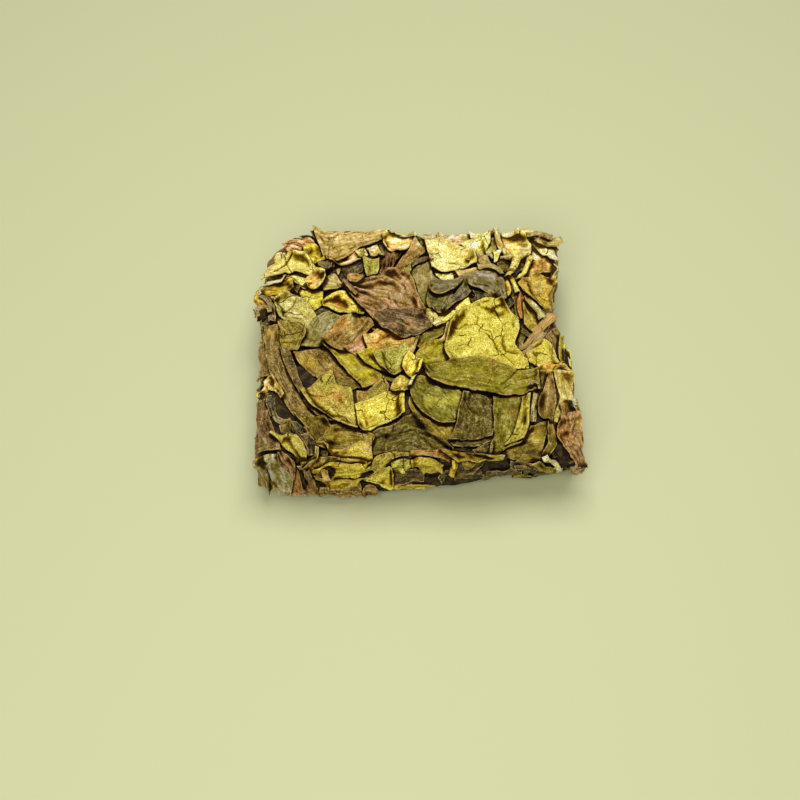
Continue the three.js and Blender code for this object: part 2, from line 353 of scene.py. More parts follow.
class Block:
    """The shape that the leaves lie on, and the three faces that they are laid on."""

    def __init__(self, settings):
        self.top = settings.top
        self.bottom = settings.bottom
        self.rounding = settings.rounding
        self.tuck = settings.tuck
        self.tuck_height = settings.tuck_height
        self.skin = settings.skin
        self.spread = settings.spread
        self.follow_outline()
        reach = 34
        self.over_top = Relief((-reach, -reach), (reach, reach))
        self.round_sides = Relief((0, -2), (self.perimeter, self.top + 2), joined=True)
        self.underneath = Relief((-reach, -reach), (reach, reach))
        self.sunk_top = Relief((-reach, -reach), (reach, reach))
        self.sunk_sides = Relief((0, -2), (self.perimeter, self.top + 2), joined=True)

    def follow_outline(self):
        """The outline in equal steps, with its outward directions: a smooth closed line
        through the four sides' points, smoothed a little at the corners."""
        corners = FRONT_EDGE + RIGHT_EDGE + BACK_EDGE + LEFT_EDGE
        samples, overlap = 4000, 3
        laps = corners[-overlap:] + corners + corners[: overlap + 1]
        line = curve(laps, np.linspace(0, 1, samples))
        steps = np.concatenate([[0], np.cumsum(np.linalg.norm(np.diff(line, axis=0), axis=1))])
        # The lap begins at the first corner and ends where the line comes back to it.
        from_first = np.linalg.norm(line - np.array(corners[0], float), axis=1)
        half = samples // 2
        begins = steps[np.argmin(from_first[:half])]
        last = half + np.argmin(from_first[half:])
        self.perimeter = steps[last] - begins
        self.steps = 740
        walk = begins + np.arange(self.steps) * self.perimeter / self.steps
        plan = np.stack([np.interp(walk, steps, line[:, axis]) for axis in (0, 1)], axis=1)
        for _ in range(6):
            plan = (np.roll(plan, 1, axis=0) + 2 * plan + np.roll(plan, -1, axis=0)) / 4
        along = np.roll(plan, -3, axis=0) - np.roll(plan, 3, axis=0)
        along /= np.linalg.norm(along, axis=1)[:, None]
        self.plan = plan
        self.outward = np.stack([along[:, 1], -along[:, 0]], axis=1)

    def around(self, distance):
        """Point of the outline and outward direction at a distance walked round it."""
        place = (distance / self.perimeter * self.steps) % self.steps
        i = np.floor(place).astype(int) % self.steps
        f = (place - np.floor(place))[..., None]
        after = (i + 1) % self.steps
        out = self.outward[i] * (1 - f) + self.outward[after] * f
        return self.plan[i] * (1 - f) + self.plan[after] * f, out / np.linalg.norm(out, axis=-1)[..., None]

    def walked(self, x, y):
        """Distance round the outline of the outline's point nearest to each point."""
        flat = np.stack([x.ravel(), y.ravel()], axis=1)
        nearest = np.empty(len(flat))
        for first in range(0, len(flat), 20000):
            part = flat[first : first + 20000]
            gaps = np.hypot(part[:, :1] - self.plan[:, 0], part[:, 1:] - self.plan[:, 1])
            nearest[first : first + 20000] = np.argmin(gaps, axis=1)
        return nearest.reshape(x.shape) * self.perimeter / self.steps

    def drawn_in(self, x, y, z):
        """How far a side is drawn in near the ground: a parabola in height, whose depth on the
        front follows the list for the front and elsewhere is the same all round."""
        front = smoothstep(-17, -20.5, y)
        given = np.interp(x, [p[0] for p in FRONT_TUCK], [p[1] for p in FRONT_TUCK])
        depth = self.tuck + front * (given - self.tuck)
        height = self.tuck_height * (1 + 0.9 * front)
        return depth * np.clip(1 - z / height, 0, 1.3) ** 2

    def inset(self, plan, z):
        """How far the side lies inside the outline at a height: a quarter round at the top and
        the drawn-in part towards the ground."""
        near_top = np.clip((z - (self.top - self.rounding)) / self.rounding, 0, 0.995)
        rounded = self.rounding * (1 - np.sqrt(1 - near_top**2))
        return rounded + self.drawn_in(plan[..., 0], plan[..., 1], z)

    def on_side(self, walk, z, height, droop=1.0):
        """Point over a side: the outline's point at that distance, drawn in by the side's
        profile, then moved out square to the profile by the height less the depth to which
        the pile there is pressed in."""
        plan, out = self.around(walk)
        slope = (self.inset(plan, z + 0.05) - self.inset(plan, z - 0.05)) / 0.1
        steep = 1 / np.sqrt(1 + slope**2)
        height = height - self.sunk_sides.at(walk, z)
        away = height * steep - self.inset(plan, z)
        rise = z + height * slope * steep
        return np.concatenate([plan + out * away[..., None], np.maximum(rise, 0.03)[..., None]], axis=-1)

    def over_edge(self, x, y, droop):
        """Where a point of an unfolded face comes to lie when the face bends down round the
        block's edge: plan, drop, and the leaning of its normal. Inside the flat part nothing
        changes. Outside it the way left to go runs along an arc whose radius is the rounding
        divided by the droop, and then straight on."""
        margin = self.rounding
        left = np.interp(y, [p[1] for p in LEFT_EDGE[::-1]], [p[0] for p in LEFT_EDGE[::-1]]) + margin
        right = np.interp(y, [p[1] for p in RIGHT_EDGE], [p[0] for p in RIGHT_EDGE]) - margin
        front = np.interp(x, [p[0] for p in FRONT_EDGE], [p[1] for p in FRONT_EDGE]) + margin
        back = np.interp(x, [p[0] for p in BACK_EDGE[::-1]], [p[1] for p in BACK_EDGE[::-1]]) - margin
        inner = np.stack([np.clip(x, left, right), np.clip(y, front, back)], axis=-1)
        way = np.stack([x, y], axis=-1) - inner
        over = np.linalg.norm(way, axis=-1)
        out = way / np.maximum(over, 1e-9)[..., None]
        droop = max(droop, 0.02)
        radius = self.rounding / droop
        arc = np.minimum(over, self.rounding * math.pi / 2)
        lean = arc / radius
        straight = over - arc
        away = radius * np.sin(lean) + straight * np.cos(lean)
        drop = radius * (1 - np.cos(lean)) + straight * np.sin(lean)
        return inner, out, away, drop, lean

    def on_top(self, x, y, height, droop=1.0):
        """Point over the top, whose unfolded plan goes on down the sides."""
        inner, out, away, drop, lean = self.over_edge(x, y, droop)
        height = height - self.sunk_top.at(x, y)
        z = self.top - drop
        drawn_in = self.drawn_in(inner[..., 0], inner[..., 1] - self.rounding, z)
        away = away - drawn_in * (away > self.rounding * 0.9) + height * np.sin(lean)
        level = np.maximum(z + height * np.cos(lean), 0.03)
        return np.concatenate([inner + out * away[..., None], level[..., None]], axis=-1)

    def on_underside(self, x, y, height, droop=1.0):
        """Point under the cake: flat and pressed against the ground, bending up at the edges."""
        scale = 1 / 0.93
        inner, out, away, drop, lean = self.over_edge(x * scale, y * scale, droop)
        deep = pressed(height, self.bottom - 0.02)
        away = (away + deep * np.sin(lean)) / scale
        z = self.bottom + 0.6 * drop - deep * np.cos(lean)
        plan = inner / scale + out * away[..., None]
        return np.concatenate([plan, np.maximum(z, 0.02)[..., None]], axis=-1)

    def shared_band(self):
        """The cells of the top's plan that lie over the sides: which they are, the walk and
        the height of each, and how far down the rounded edge it is, from 0 to 1."""
        wide, deep = self.over_top.height.shape
        x, y = np.meshgrid(
            self.over_top.low[0] + np.arange(wide) * Relief.CELL,
            self.over_top.low[1] + np.arange(deep) * Relief.CELL,
            indexing="ij",
        )
        points = self.on_top(x, y, np.zeros(x.shape))
        beyond = points[..., 2] < self.top - 0.02 * self.rounding
        z = points[..., 2][beyond]
        walk = self.walked(points[..., 0][beyond], points[..., 1][beyond])
        return beyond, walk, z, smoothstep(self.top, self.top - self.rounding, z)

    def carry_sides_to_top(self):
        """Starts the relief of the top, outside its flat part, from that of the sides."""
        self.band = self.shared_band()
        beyond, walk, z, share = self.band
        side = self.round_sides.at(walk, z) * share
        self.over_top.height[beyond] = np.maximum(self.over_top.height[beyond], side)

    def press(self):
        """Finds how far each pile is pressed in: the relief blurred over the spread, so that
        the finished faces stay level on the whole. The band that the top and the sides share
        is pressed in by the same amount from both."""
        beyond, walk, z, share = self.band
        sides, top = self.round_sides, self.over_top
        full = sides.height.copy()
        i = np.rint(walk / Relief.CELL).astype(int)
        j = np.rint((z - sides.low[1]) / Relief.CELL).astype(int)
        np.maximum.at(full, sides._cell(i, j), top.height[beyond])
        first, last = (int((level - sides.low[1]) / Relief.CELL) for level in (0.5, self.top - 0.3))
        full[:, :first] = full[:, first : first + 1]
        full[:, last:] = full[:, last : last + 1]
        reach = self.spread / Relief.CELL
        self.sunk_sides.height = blurred(full, 0.4 * reach, True)
        level = blurred(top.height, reach, False)
        level[beyond] += share * (self.sunk_sides.at(walk, z) - level[beyond])
        self.sunk_top.height = blurred(level, 4, False)


# ---------------------------------------------------------------- one leaf


@dataclass
class Leaf:
    """A leaf or a torn part of one. It is ruled between two long edges, left and right, which
    run the same way and are given by points of the plan."""

    tone: str
    left: list
    right: list
    lift: float = 0.2  # gap under it
    edges: tuple = (0.1, 0.1)  # how far its left and right edges curl up
    ends: tuple = (0.1, 0.1)  # how far its first and last ends curl up
    tilt: tuple = (0.0, 0.0)  # rise towards the last end and towards the right edge
    arch: float = 0.0  # height of an arch across it
    bulge: float = 0.0  # height of a dome over all of it
    crumple: float = 0.2
    wrinkles: float = 0.1  # height of the wrinkles along it
    spacing: float = 0.8  # distance between those wrinkles
    midrib: float = 0.5  # where its midrib runs, as a share of the way from left to right
    torn: float = 0.22  # raggedness of its outline
    droop: float = 1.0  # 1 follows the block's edges, 0 stays flat
    stiff: int = 22  # how widely it bridges hollows
    step: float = 0.0  # spacing of its points, or 0 for that of its face
    # How bright its colour is: partly its own tone and partly painted light and shade, darker where it lies
    # in shade and lighter where it lies open.
    light: float = 1.0
    # Painted light on its own relief: a painted highlight on its crests and painted shade in its hollows.
    crest_highlight_hollow_shade: float = 0.42  # how much paler its crests and darker its hollows are
    creases: tuple = ()  # (height, width, points): a ridge, or a groove below zero
    spots: tuple = ()  # (x, y, radius, tone, strength)


SMOOTH = {"yellow", "pale", "cream", "green", "grey", "dark"}


# How dark the painted shade in a leaf's own grooves and in the crevices between leaves gets, and the share
# of walls around it at which the painted crevice shade begins, and is darkest.
CREASE_SHADE, CREVICE_SHADE = 0.8, 0.93
CREVICE_WALLS = (0.03, 0.4)


@dataclass
class Sheet:
    """A laid leaf: the heights of its outer face over a plan, and its attributes."""

    x: np.ndarray
    y: np.ndarray
    height: np.ndarray
    thickness: float
    droop: float
    tint: np.ndarray
    grain: np.ndarray
    tone: str
    place: object
    relief: object

    def faces(self):
        """Its outer and inner points, once the piles are pressed."""
        outer = self.place(self.x, self.y, self.height, self.droop)
        return outer, self.place(self.x, self.y, self.height - self.thickness, self.droop)

    def paint_crevice_shade(self):
        """Paints shade into the leaf where it lies in crevices between others."""
        deep = self.relief.crevice(self.x, self.y, self.height)
        # Painted shade: the tint's fourth part, which already holds the painted shade of the leaf's grooves,
        # darkens where walls stand close.
        open_air = 1 - CREVICE_SHADE * smoothstep(*CREVICE_WALLS, deep)
        self.tint[..., 3] = 1 - (1 - CREASE_SHADE * self.tint[..., 3]) * open_air


@dataclass
class Layer:
    """The edge of a flat layer, given by its points."""

    outer: np.ndarray
    inner: np.ndarray
    tint: np.ndarray
    grain: np.ndarray
    tone: str

    def faces(self):
        """Its outer and inner points."""
        return self.outer, self.inner


def drape(under, rounds):
    """A skin over a relief: again and again each point takes the mean of itself and its four
    neighbours, but never sinks below the relief."""
    skin = under.copy()
    for _ in range(rounds):
        wide = np.pad(skin, 1, mode="edge")
        mean = (wide[:-2, 1:-1] + wide[2:, 1:-1] + wide[1:-1, :-2] + wide[1:-1, 2:] + skin) / 5
        skin = np.maximum(under, mean)
    return skin


def softened(grid, reach):
    """A grid averaged over a few points each way."""
    return blurred(grid, 2 * reach, False) if min(grid.shape) > 2 else grid


def tones(colours, tone):
    """A named tone as numbers."""
    return np.array(getattr(colours, tone))


# How much more green and blue change than red where a leaf is lighter or darker.
GREEN_POWER, BLUE_POWER = 1.25, 2.9


def shaded(tint, amount):
    """A colour made lighter or darker by a factor: red by the factor itself, green and blue by
    powers of it, so that lighter parts come out paler and darker parts warmer."""
    return tint * np.maximum(amount, 0.01)[..., None] ** np.array([1.0, GREEN_POWER, BLUE_POWER])


def lay(relief, place, leaf, seed, thickness, step, colours):
    """Lays a leaf on a face and returns its sheet. Its plan is left + v (right - left), where
    both edges are lines in u. Its height is a skin draped over the relief, plus its lift, tilt,
    arch, dome, curled edges, crumples, wrinkles and creases."""
    step = leaf.step or step
    probe = np.linspace(0, 1, 24)
    left, right = curve(leaf.left, probe), curve(leaf.right, probe)
    widths = np.linalg.norm(right - left, axis=1)
    middle = (left + right) / 2
    length = max(np.linalg.norm(np.diff(middle, axis=0), axis=1).sum(), 0.4)
    longest = max(length, *(np.linalg.norm(np.diff(e, axis=0), axis=1).sum() for e in (left, right)))
    rows = max(4, int(longest / step) + 1)
    columns = max(4, int(np.percentile(widths, 85) / step) + 1)
    u, v = np.meshgrid(np.linspace(0, 1, rows), np.linspace(0, 1, columns), indexing="ij")
    width = np.interp(u, probe, np.maximum(widths, 0.25))

    ragged = leaf.torn * 0.5

    def nick(along, row):
        """How far a torn edge is nicked in, from one row of a coarse and a finer noise."""
        row = along * 0 + row
        return ragged * (noise(along / 1.6, row, seed) + 0.5 * noise(along / 0.5, row, seed + 5))

    from_left, from_right = nick(u * length, 1.5), nick(u * length, 7.5)
    from_start, from_end = 1.5 * nick(v * width, 13.5), 1.5 * nick(v * width, 19.5)
    su = np.clip((from_start * (1 - u) - from_end * u) / length + u, 0, 1)
    sv = v + (from_left * (1 - v) - from_right * v) / width
    a, b = curve(leaf.left, su), curve(leaf.right, su)
    plan = a + sv[..., None] * (b - a)
    x, y = plan[..., 0], plan[..., 1]

    along, across = su * length, (sv - leaf.midrib) * width
    to_left, to_right, to_start, to_end = v * width, (1 - v) * width, u * length, (1 - u) * length
    sway = 1 + 0.9 * noise(along / 2.5, across * 0 + 3.3, seed + 11)
    curl = (
        leaf.edges[0] * np.exp(-((to_left / 0.9) ** 2)) * sway
        + leaf.edges[1] * np.exp(-((to_right / 0.9) ** 2)) * (2 - sway)
        + leaf.ends[0] * np.exp(-((to_start / 1.1) ** 2))
        + leaf.ends[1] * np.exp(-((to_end / 1.1) ** 2))
    )
    form = leaf.lift + curl + leaf.tilt[0] * u + leaf.tilt[1] * v
    form += leaf.arch * np.sin(np.pi * np.clip(v, 0, 1)) ** 0.8
    form += leaf.bulge * (16 * u * (1 - u) * v * (1 - v)) ** 0.6
    folds = facets(x / 3.2, y / 3.2, seed) + 0.3 * facets(x / 1.2, y / 1.2, seed + 1)
    sideways = across / leaf.spacing + 0.5 * noise(along / 1.8, across / 1.8, seed + 3)
    dry = 0.5 if leaf.tone in SMOOTH else 1.0
    fine = leaf.crumple * (folds + 0.12 * ridged(x / 0.6, y / 0.6, seed + 2))
    fine += dry * leaf.wrinkles * ridged(sideways, along / (3.5 * leaf.spacing), seed + 4)
    fine += 0.45 * dry * leaf.wrinkles * ridged(2 * sideways, along / (2 * leaf.spacing), seed + 6)
    form += fine
    groove_shade = np.zeros(x.shape)
    for height, wide, points in leaf.creases:
        near = distance_to_line(x, y, points)
        form += height * np.exp(-((near / wide) ** 2))
        # A groove gets painted shade along its line, kept in the tint's fourth part.
        if height < 0:
            groove_shade = np.maximum(groove_shade, np.exp(-((near / (0.55 * wide)) ** 2)))

    under = relief.at(x, y)
    top = np.maximum(drape(under, leaf.stiff) + form, under + 0.03) + thickness
    relief.cover(x, y, top)
    crest = np.clip((fine - softened(fine, int(0.35 / step) + 1)) / 0.05, -1, 1)

    rng = np.random.default_rng(seed)
    # The leaf's light brings in painted light and shade as well as its own tone.
    base = tones(colours, leaf.tone) * leaf.light * (1 + 0.05 * rng.standard_normal())
    base = base * (1 + 0.03 * rng.standard_normal(3))
    tint = np.broadcast_to(base, x.shape + (3,)).copy()
    patch = 0.5 + 0.5 * layered(x / 3.5, y / 3.5, seed + 21)
    # Painted light on the leaf's own relief: the crests get a painted highlight, paler and towards straw,
    # and the hollows get painted shade.
    ridge, hollow = np.maximum(crest, 0) ** 1.5, np.minimum(crest, 0)
    tint = shaded(tint, 0.88 + 0.28 * patch + leaf.crest_highlight_hollow_shade * (1.2 * hollow + 1.1 * ridge))
    tint += 0.12 * leaf.crest_highlight_hollow_shade * ridge[..., None] * (tones(colours, "straw") - tint)
    for sx, sy, radius, tone, strength in leaf.spots:
        reach = 1 - np.hypot(x - sx, y - sy) / radius + 0.45 * layered(x / 1.2, y / 1.2, seed + 31)
        share = (strength * smoothstep(0, 0.7, reach))[..., None]
        tint = tint * (1 - share) + tones(colours, tone) * share
    edge = np.minimum(np.minimum(to_left, to_right), np.minimum(to_start, to_end))
    return Sheet(
        x=x,
        y=y,
        height=top,
        thickness=thickness,
        droop=leaf.droop,
        tint=np.concatenate([np.clip(tint, 0, 1), groove_shade[..., None]], axis=-1),
        grain=np.stack([along, across, edge], axis=-1),
        tone=leaf.tone,
        place=place,
        relief=relief,
    )


def shell_faces(rows, columns):
    """Four-cornered faces of a closed shell between an outer and an inner grid of points: the
    outer grid, the inner grid turned over, and the rim between their borders."""
    index = np.arange(rows * columns).reshape(rows, columns)
    outer = np.stack([index[:-1, :-1], index[1:, :-1], index[1:, 1:], index[:-1, 1:]], axis=-1)
    outer = outer.reshape(-1, 4)
    ring = np.concatenate([index[:, 0], index[-1, 1:], index[-2::-1, -1], index[0, -2:0:-1]])
    after = np.roll(ring, -1)
    below = rows * columns
    rim = np.stack([after, ring, ring + below, after + below], axis=1)
    return np.concatenate([outer, outer[:, ::-1] + below, rim])


def facing_in(outer, inner):
    """Whether the outer grid's faces, taken in order, look towards the inner grid."""
    normal = np.cross(outer[1:, :-1] - outer[:-1, :-1], outer[:-1, 1:] - outer[:-1, :-1])
    return (normal * (outer - inner)[:-1, :-1]).sum() < 0


def mesh_object(name, points, faces, attributes, material):
    """A finished piece: a smooth-shaded mesh with named attributes that rides on the cake and
    stands for its solid. Points are in millimetres."""
    mesh = bpy.data.meshes.new(name)
    mesh.vertices.add(len(points))
    mesh.vertices.foreach_set("co", (points * MM).astype(np.float32).ravel())
    mesh.loops.add(faces.size)
    mesh.loops.foreach_set("vertex_index", faces.astype(np.int32).ravel())
    mesh.polygons.add(len(faces))
    mesh.polygons.foreach_set("loop_start", np.arange(0, faces.size, faces.shape[1], dtype=np.int32))
    mesh.update(calc_edges=True)
    mesh.validate()
    for title, values in attributes.items():
        kind = {3: "FLOAT_VECTOR", 4: "FLOAT_COLOR"}[values.shape[1]]
        data = mesh.attributes.new(title, kind, "POINT").data
        data.foreach_set({3: "vector", 4: "color"}[values.shape[1]], values.astype(np.float32).ravel())
    mesh.shade_smooth()
    mesh.set_sharp_from_angle(angle=math.radians(48))
    mesh.materials.append(material)
    piece = bpy.data.objects.new(name, mesh)
    bpy.context.scene.collection.objects.link(piece)
    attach(piece, "root")
    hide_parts(NODE)
    return piece


def leaves_object(name, sheets, material):
    """One piece out of many sheets."""
    points, faces, tint, grain, first = [], [], [], [], 0
    for sheet in sheets:
        outer, inner = sheet.faces()
        rows, columns = outer.shape[:2]
        quads = shell_faces(rows, columns)
        if facing_in(outer, inner):
            quads = quads[:, ::-1]
        points += [outer.reshape(-1, 3), inner.reshape(-1, 3)]
        faces.append(quads + first)
        tint += [sheet.tint.reshape(-1, 4)] * 2
        grain += [sheet.grain.reshape(-1, 3)] * 2
        first += 2 * rows * columns
    joined = {"tint": np.concatenate(tint), "grain": np.concatenate(grain)}
    return mesh_object(name, np.concatenate(points), np.concatenate(faces), joined, material)


# ---------------------------------------------------------------- the leaves of the top

# In the order that they lie, lowest first. Where an edge goes past the block's outline it runs
# on down the side, so the front ones reach down the front.

BACK_LEFT = [
    Leaf("brown", [(-21.4, 19), (-19.5, 19.2), (-17.4, 18)],
        [(-20.9, 17.4), (-19.3, 17), (-17.4, 16.6)], wrinkles=0.3, spacing=0.6, light=0.98),
    Leaf("straw", [(-25.2, 9.6), (-23.2, 11.3), (-20.5, 12.3)],
        [(-24.6, 7.6), (-22, 8.5), (-19.8, 10.2)], light=3.36, wrinkles=0.3, spacing=0.7),
    Leaf("plum", [(-14, 13.2), (-12.8, 14.9), (-10.5, 15.7), (-8.4, 16.1)],
        [(-11.3, 11.4), (-10.5, 12.6), (-9.8, 13.4), (-8.9, 14)], lift=0, crumple=0.05, wrinkles=0.02,
        light=0.09),
    Leaf("yellow", [(-19.5, 10.9), (-17.4, 10.7), (-15.1, 10)],
        [(-17.9, 7.4), (-16.3, 6), (-15.2, 7.3)], crumple=0.08, wrinkles=0.04, light=1.19),
    Leaf("bark", [(-21.6, 12.4), (-20, 12), (-18.8, 10.6)], [(-20.8, 11), (-19.8, 10), (-19.2, 9.4)],
        light=0.58),
    Leaf("grey", [(-15.4, 11.9), (-14.2, 12.8), (-13.2, 13)], [(-15, 9.8), (-13.5, 10.1), (-11.7, 11)],
        light=1.94, crumple=0.25, spots=((-12.6, 12, 1.2, "pink", 0.6),)),
    Leaf("pink", [(-21.3, 19.3), (-20.7, 21.1), (-19, 21.2), (-17.6, 20.8), (-16.2, 19)],
        [(-21.3, 17.8), (-20.2, 17.2), (-19, 17), (-18.1, 17.2), (-17.2, 17.9)], light=1.4, lift=0.35,
        crumple=0.4, wrinkles=0.35, spacing=0.6, torn=0.5, edges=(0.5, 0.1),
        spots=((-20.6, 20.2, 1.2, "peach", 0.8), (-18.8, 19.4, 1, "peach", 0.5))),
    Leaf("gold", [(-18.7, 18.8), (-17.4, 19.3), (-15.8, 18.7), (-14.6, 16.9)],
        [(-18.3, 16.9), (-17.4, 16.1), (-16.4, 15.6), (-14.9, 16.3)], light=1.69, lift=0.25, bulge=0.2,
        crumple=0.1, torn=0.15),
    Leaf("pale", [(-24.4, 17.2), (-23.2, 17.9), (-22, 17.9), (-20.8, 17.4)],
        [(-24.7, 13.9), (-23.4, 14.2), (-22, 15.2), (-20.7, 16.3)], crumple=0.12, wrinkles=0.08,
        stiff=40, edges=(0.35, 0.1), spots=((-24, 15, 1.6, "straw", 0.6),)),
    Leaf("olive", [(-24.8, 10.9), (-22.7, 11.8), (-20.1, 11.4)],
        [(-24, 8.9), (-21.8, 9.3), (-19.8, 10.1)], light=2.99, crumple=0.25, wrinkles=0.25, spacing=0.6),
    Leaf("yellow", [(-20.9, 13), (-18.8, 14.1), (-16.5, 13.3)],
        [(-19.8, 11.2), (-18, 10.5), (-17.4, 12)], light=5.58, crumple=0.08, lift=0.15),
    Leaf("straw", [(-24.6, 13.4), (-24.6, 10.9)], [(-20.7, 13.2), (-21.8, 11.1)], light=7.52,
        crumple=0.1, wrinkles=0.06, torn=0.12),
    Leaf("pale",
        [(-24.6, 13.4), (-23.7, 14.9), (-22.3, 16.4), (-21.1, 17.3), (-19.9, 17.4), (-17.6, 16.5),
            (-16.4, 14.8)],
        [(-24.5, 12.7), (-23, 12.9), (-21.4, 13.2), (-20.2, 13.5), (-18.4, 13.8), (-17.2, 13),
            (-16.6, 13.1)], light=1.14, lift=0.25, bulge=0.4, edges=(0.25, 0.35), crumple=0.08,
        wrinkles=0.05, spacing=1.4, stiff=45,
        creases=((-0.4, 0.22, [(-20.4, 17.3), (-21.5, 15.6), (-22.9, 13.9)]),
            (0.25, 0.3, [(-24, 13.6), (-21.6, 14.8), (-18.6, 15.6)])),
        spots=((-18.6, 15.2, 1.8, "yellow", 0.6), (-23.4, 13.6, 1.4, "straw", 0.5))),
    Leaf("bark", [(-25.2, 9.9), (-25.2, 7.6), (-25, 5.8)], [(-24.3, 9.9), (-24.2, 7.6), (-23.7, 5.8)],
        wrinkles=0.3, light=4.41, droop=0.9),
    Leaf("pale", [(-23, 7.9), (-22, 9.2), (-19.8, 9.4), (-17.5, 7.2), (-16, 4.6)],
        [(-22.7, 6.2), (-21.4, 4), (-19.2, 4), (-17.7, 2.6), (-17, 2)], light=0.69, lift=0.15,
        bulge=0.5, crumple=0.1, spacing=1.5, stiff=45, edges=(0.35, 0.25),
        creases=((-0.2, 0.18, [(-19.4, 8.6), (-20, 7.2), (-21.4, 5.6)]),
            (0.2, 0.3, [(-20.6, 5.4), (-18.8, 6), (-17, 5.4)]),
            (-0.14, 0.2, [(-20, 4.8), (-18.4, 4.4)])), spots=((-18, 6.4, 2, "yellow", 0.5),)),
    Leaf("straw", [(-24.3, 8.6), (-23.4, 6), (-23.3, 3.3)], [(-23.5, 8.4), (-22.6, 5.8), (-22.5, 3.2)],
        light=0.3, wrinkles=0.25, spacing=0.5),
    Leaf("rust", [(-16.7, 13.7), (-15.4, 14.9), (-13.3, 15.3)],
        [(-15.8, 13), (-14.9, 13.5), (-13.4, 14.2)], crumple=0.45, wrinkles=0.2, torn=0.5, lift=0.3,
        light=10.5),
    Leaf("peach", [(-18.3, 11.5), (-17.4, 12.7), (-16.2, 13.4), (-14.9, 13.3)],
        [(-17.6, 10.6), (-16.4, 10.1), (-15.4, 10.6), (-14.7, 12)], lift=0.3, edges=(0.6, 0.45),
        light=3.2, spots=((-16.6, 11.8, 1.6, "straw", 0.7), (-17.2, 12.6, 1, "cream", 0.6))),
    Leaf("pink", [(-16.4, 15.3), (-15, 15), (-13.7, 15.1)],
        [(-15.9, 14.3), (-14.8, 13.7), (-13.8, 14.1)], crumple=0.4, light=0.2),
    Leaf("pink", [(-14.5, 15.4), (-12.4, 16.4), (-10, 17.7)],
        [(-14.1, 14.8), (-11.8, 15.3), (-9.1, 16)], light=2, crumple=0.1),
    Leaf("dark", [(-17.6, 21.9), (-16.9, 20.8), (-16, 19.4)], [(-17, 22.1), (-16.2, 21), (-15.5, 19.6)],
        lift=0.5, droop=0.6, light=0.69, torn=0.1),
    Leaf("straw", [(-17.2, 22.2), (-13, 22.5), (-8, 22.6), (-4.5, 22.4)],
        [(-14.4, 15.1), (-12.3, 16.2), (-10.4, 18), (-5.8, 20.6)], light=1.05, ends=(0.1, 0),
        edges=(0.15, 0.3), droop=0.5, crumple=0.08, stiff=40,
        spots=((-12, 16.4, 2.2, "pink", 0.6), (-8.4, 19, 2, "pink", 0.55), (-13, 19, 3, "gold", 0.35))),
]

# Painted shade: dark flat sheets in the shadow tone, which stand for the hollows that show black between
# the leaves. They are laid before the named leaves, over the lining and the hidden backing leaves.
PAINTED_SHADOWS = [
    Leaf("shadow", [(-21.9, 12.3), (-20.6, 11.2), (-19.4, 9.9)],
        [(-21.3, 12.2), (-20, 10.8), (-19.2, 10.2)]),
    Leaf("shadow", [(-16.3, 16.3), (-15, 16.8), (-14.2, 16.4)],
        [(-16.2, 15.1), (-15.2, 15), (-14.3, 15.1)]),
    Leaf("shadow", [(-13.8, 14.8), (-11.4, 15.8), (-8.8, 16.4)],
        [(-13.4, 13.9), (-11, 14.8), (-9, 15.2)]),
    Leaf("shadow", [(-9.8, 13.8), (-9, 14.2), (-8.4, 13.6)], [(-9.6, 12.6), (-9, 12.5), (-8.4, 12.8)]),
    Leaf("shadow", [(15.4, 13.2), (15.8, 14.6), (16.4, 15.8)], [(16.2, 13), (16.7, 14), (17.2, 15.2)]),
    Leaf("shadow", [(-19.4, -6), (-18, -8), (-16, -10)], [(-18, -5.4), (-16, -7.4), (-14.4, -8.6)]),
    Leaf("shadow", [(-22.9, -10.1), (-23, -13), (-22.5, -16), (-21.2, -17.8)],
        [(-21.6, -10.1), (-19.5, -13.4), (-18.6, -15), (-19.2, -16.8)]),
    Leaf("shadow", [(-22.8, -18.4), (-21.4, -20), (-19.8, -21.4), (-18.2, -22.4)],
        [(-22.4, -17.8), (-21, -19), (-19.5, -20.6), (-18, -21.6)]),
    Leaf("shadow", [(-19.6, -16), (-18.4, -16.4), (-16.8, -16.6)],
        [(-19.4, -17.2), (-18, -17.6), (-16.4, -18)]),
    Leaf("shadow", [(-10.4, -9.8), (-10, -11.2), (-9.9, -12.9)],
        [(-9.6, -9.8), (-9.3, -11.2), (-9.2, -12.9)]),
    Leaf("shadow", [(-2.2, -10.8), (-2.4, -12.6), (-2.4, -15)],
        [(-0.8, -10.8), (-1, -12.6), (-1.2, -14)]),
    Leaf("shadow", [(-8, -17.2), (-4.8, -16), (-1.8, -14.6)],
        [(-7.6, -18.2), (-4.6, -17), (-1.4, -15.4)]),
    Leaf("shadow", [(17.6, -12.6), (17.5, -14.4), (17.6, -16.4)],
        [(18.6, -12.6), (18.6, -14.4), (19.6, -16.3)]),
    Leaf("shadow", [(20.9, -8), (21.3, -10.8), (20.6, -13), (20.2, -15.2), (19.9, -16.6)],
        [(21.7, -8), (22.2, -10.8), (21.6, -13), (21, -15.2), (20.8, -16.6)]),
    Leaf("shadow", [(22.2, -12.4), (21.7, -14), (21.4, -15.4), (20.8, -17.4)],
        [(23.8, -12.8), (23.2, -14.4), (22.2, -15.6), (21.6, -17.4)]),
    Leaf("shadow", [(20.2, -20), (21, -22), (21.6, -24.6)],
        [(21.2, -19.2), (22.8, -21.2), (24.4, -23.8)]),
    Leaf("shadow", [(17.2, -9), (17.4, -10.4)], [(18.4, -9), (18.6, -10.4)]),
    Leaf("shadow", [(5, -20), (7.6, -20.5), (9.4, -20.1), (11.2, -19)],
        [(5, -20.4), (7.6, -21), (9.4, -20.7), (11, -19.6)]),
]

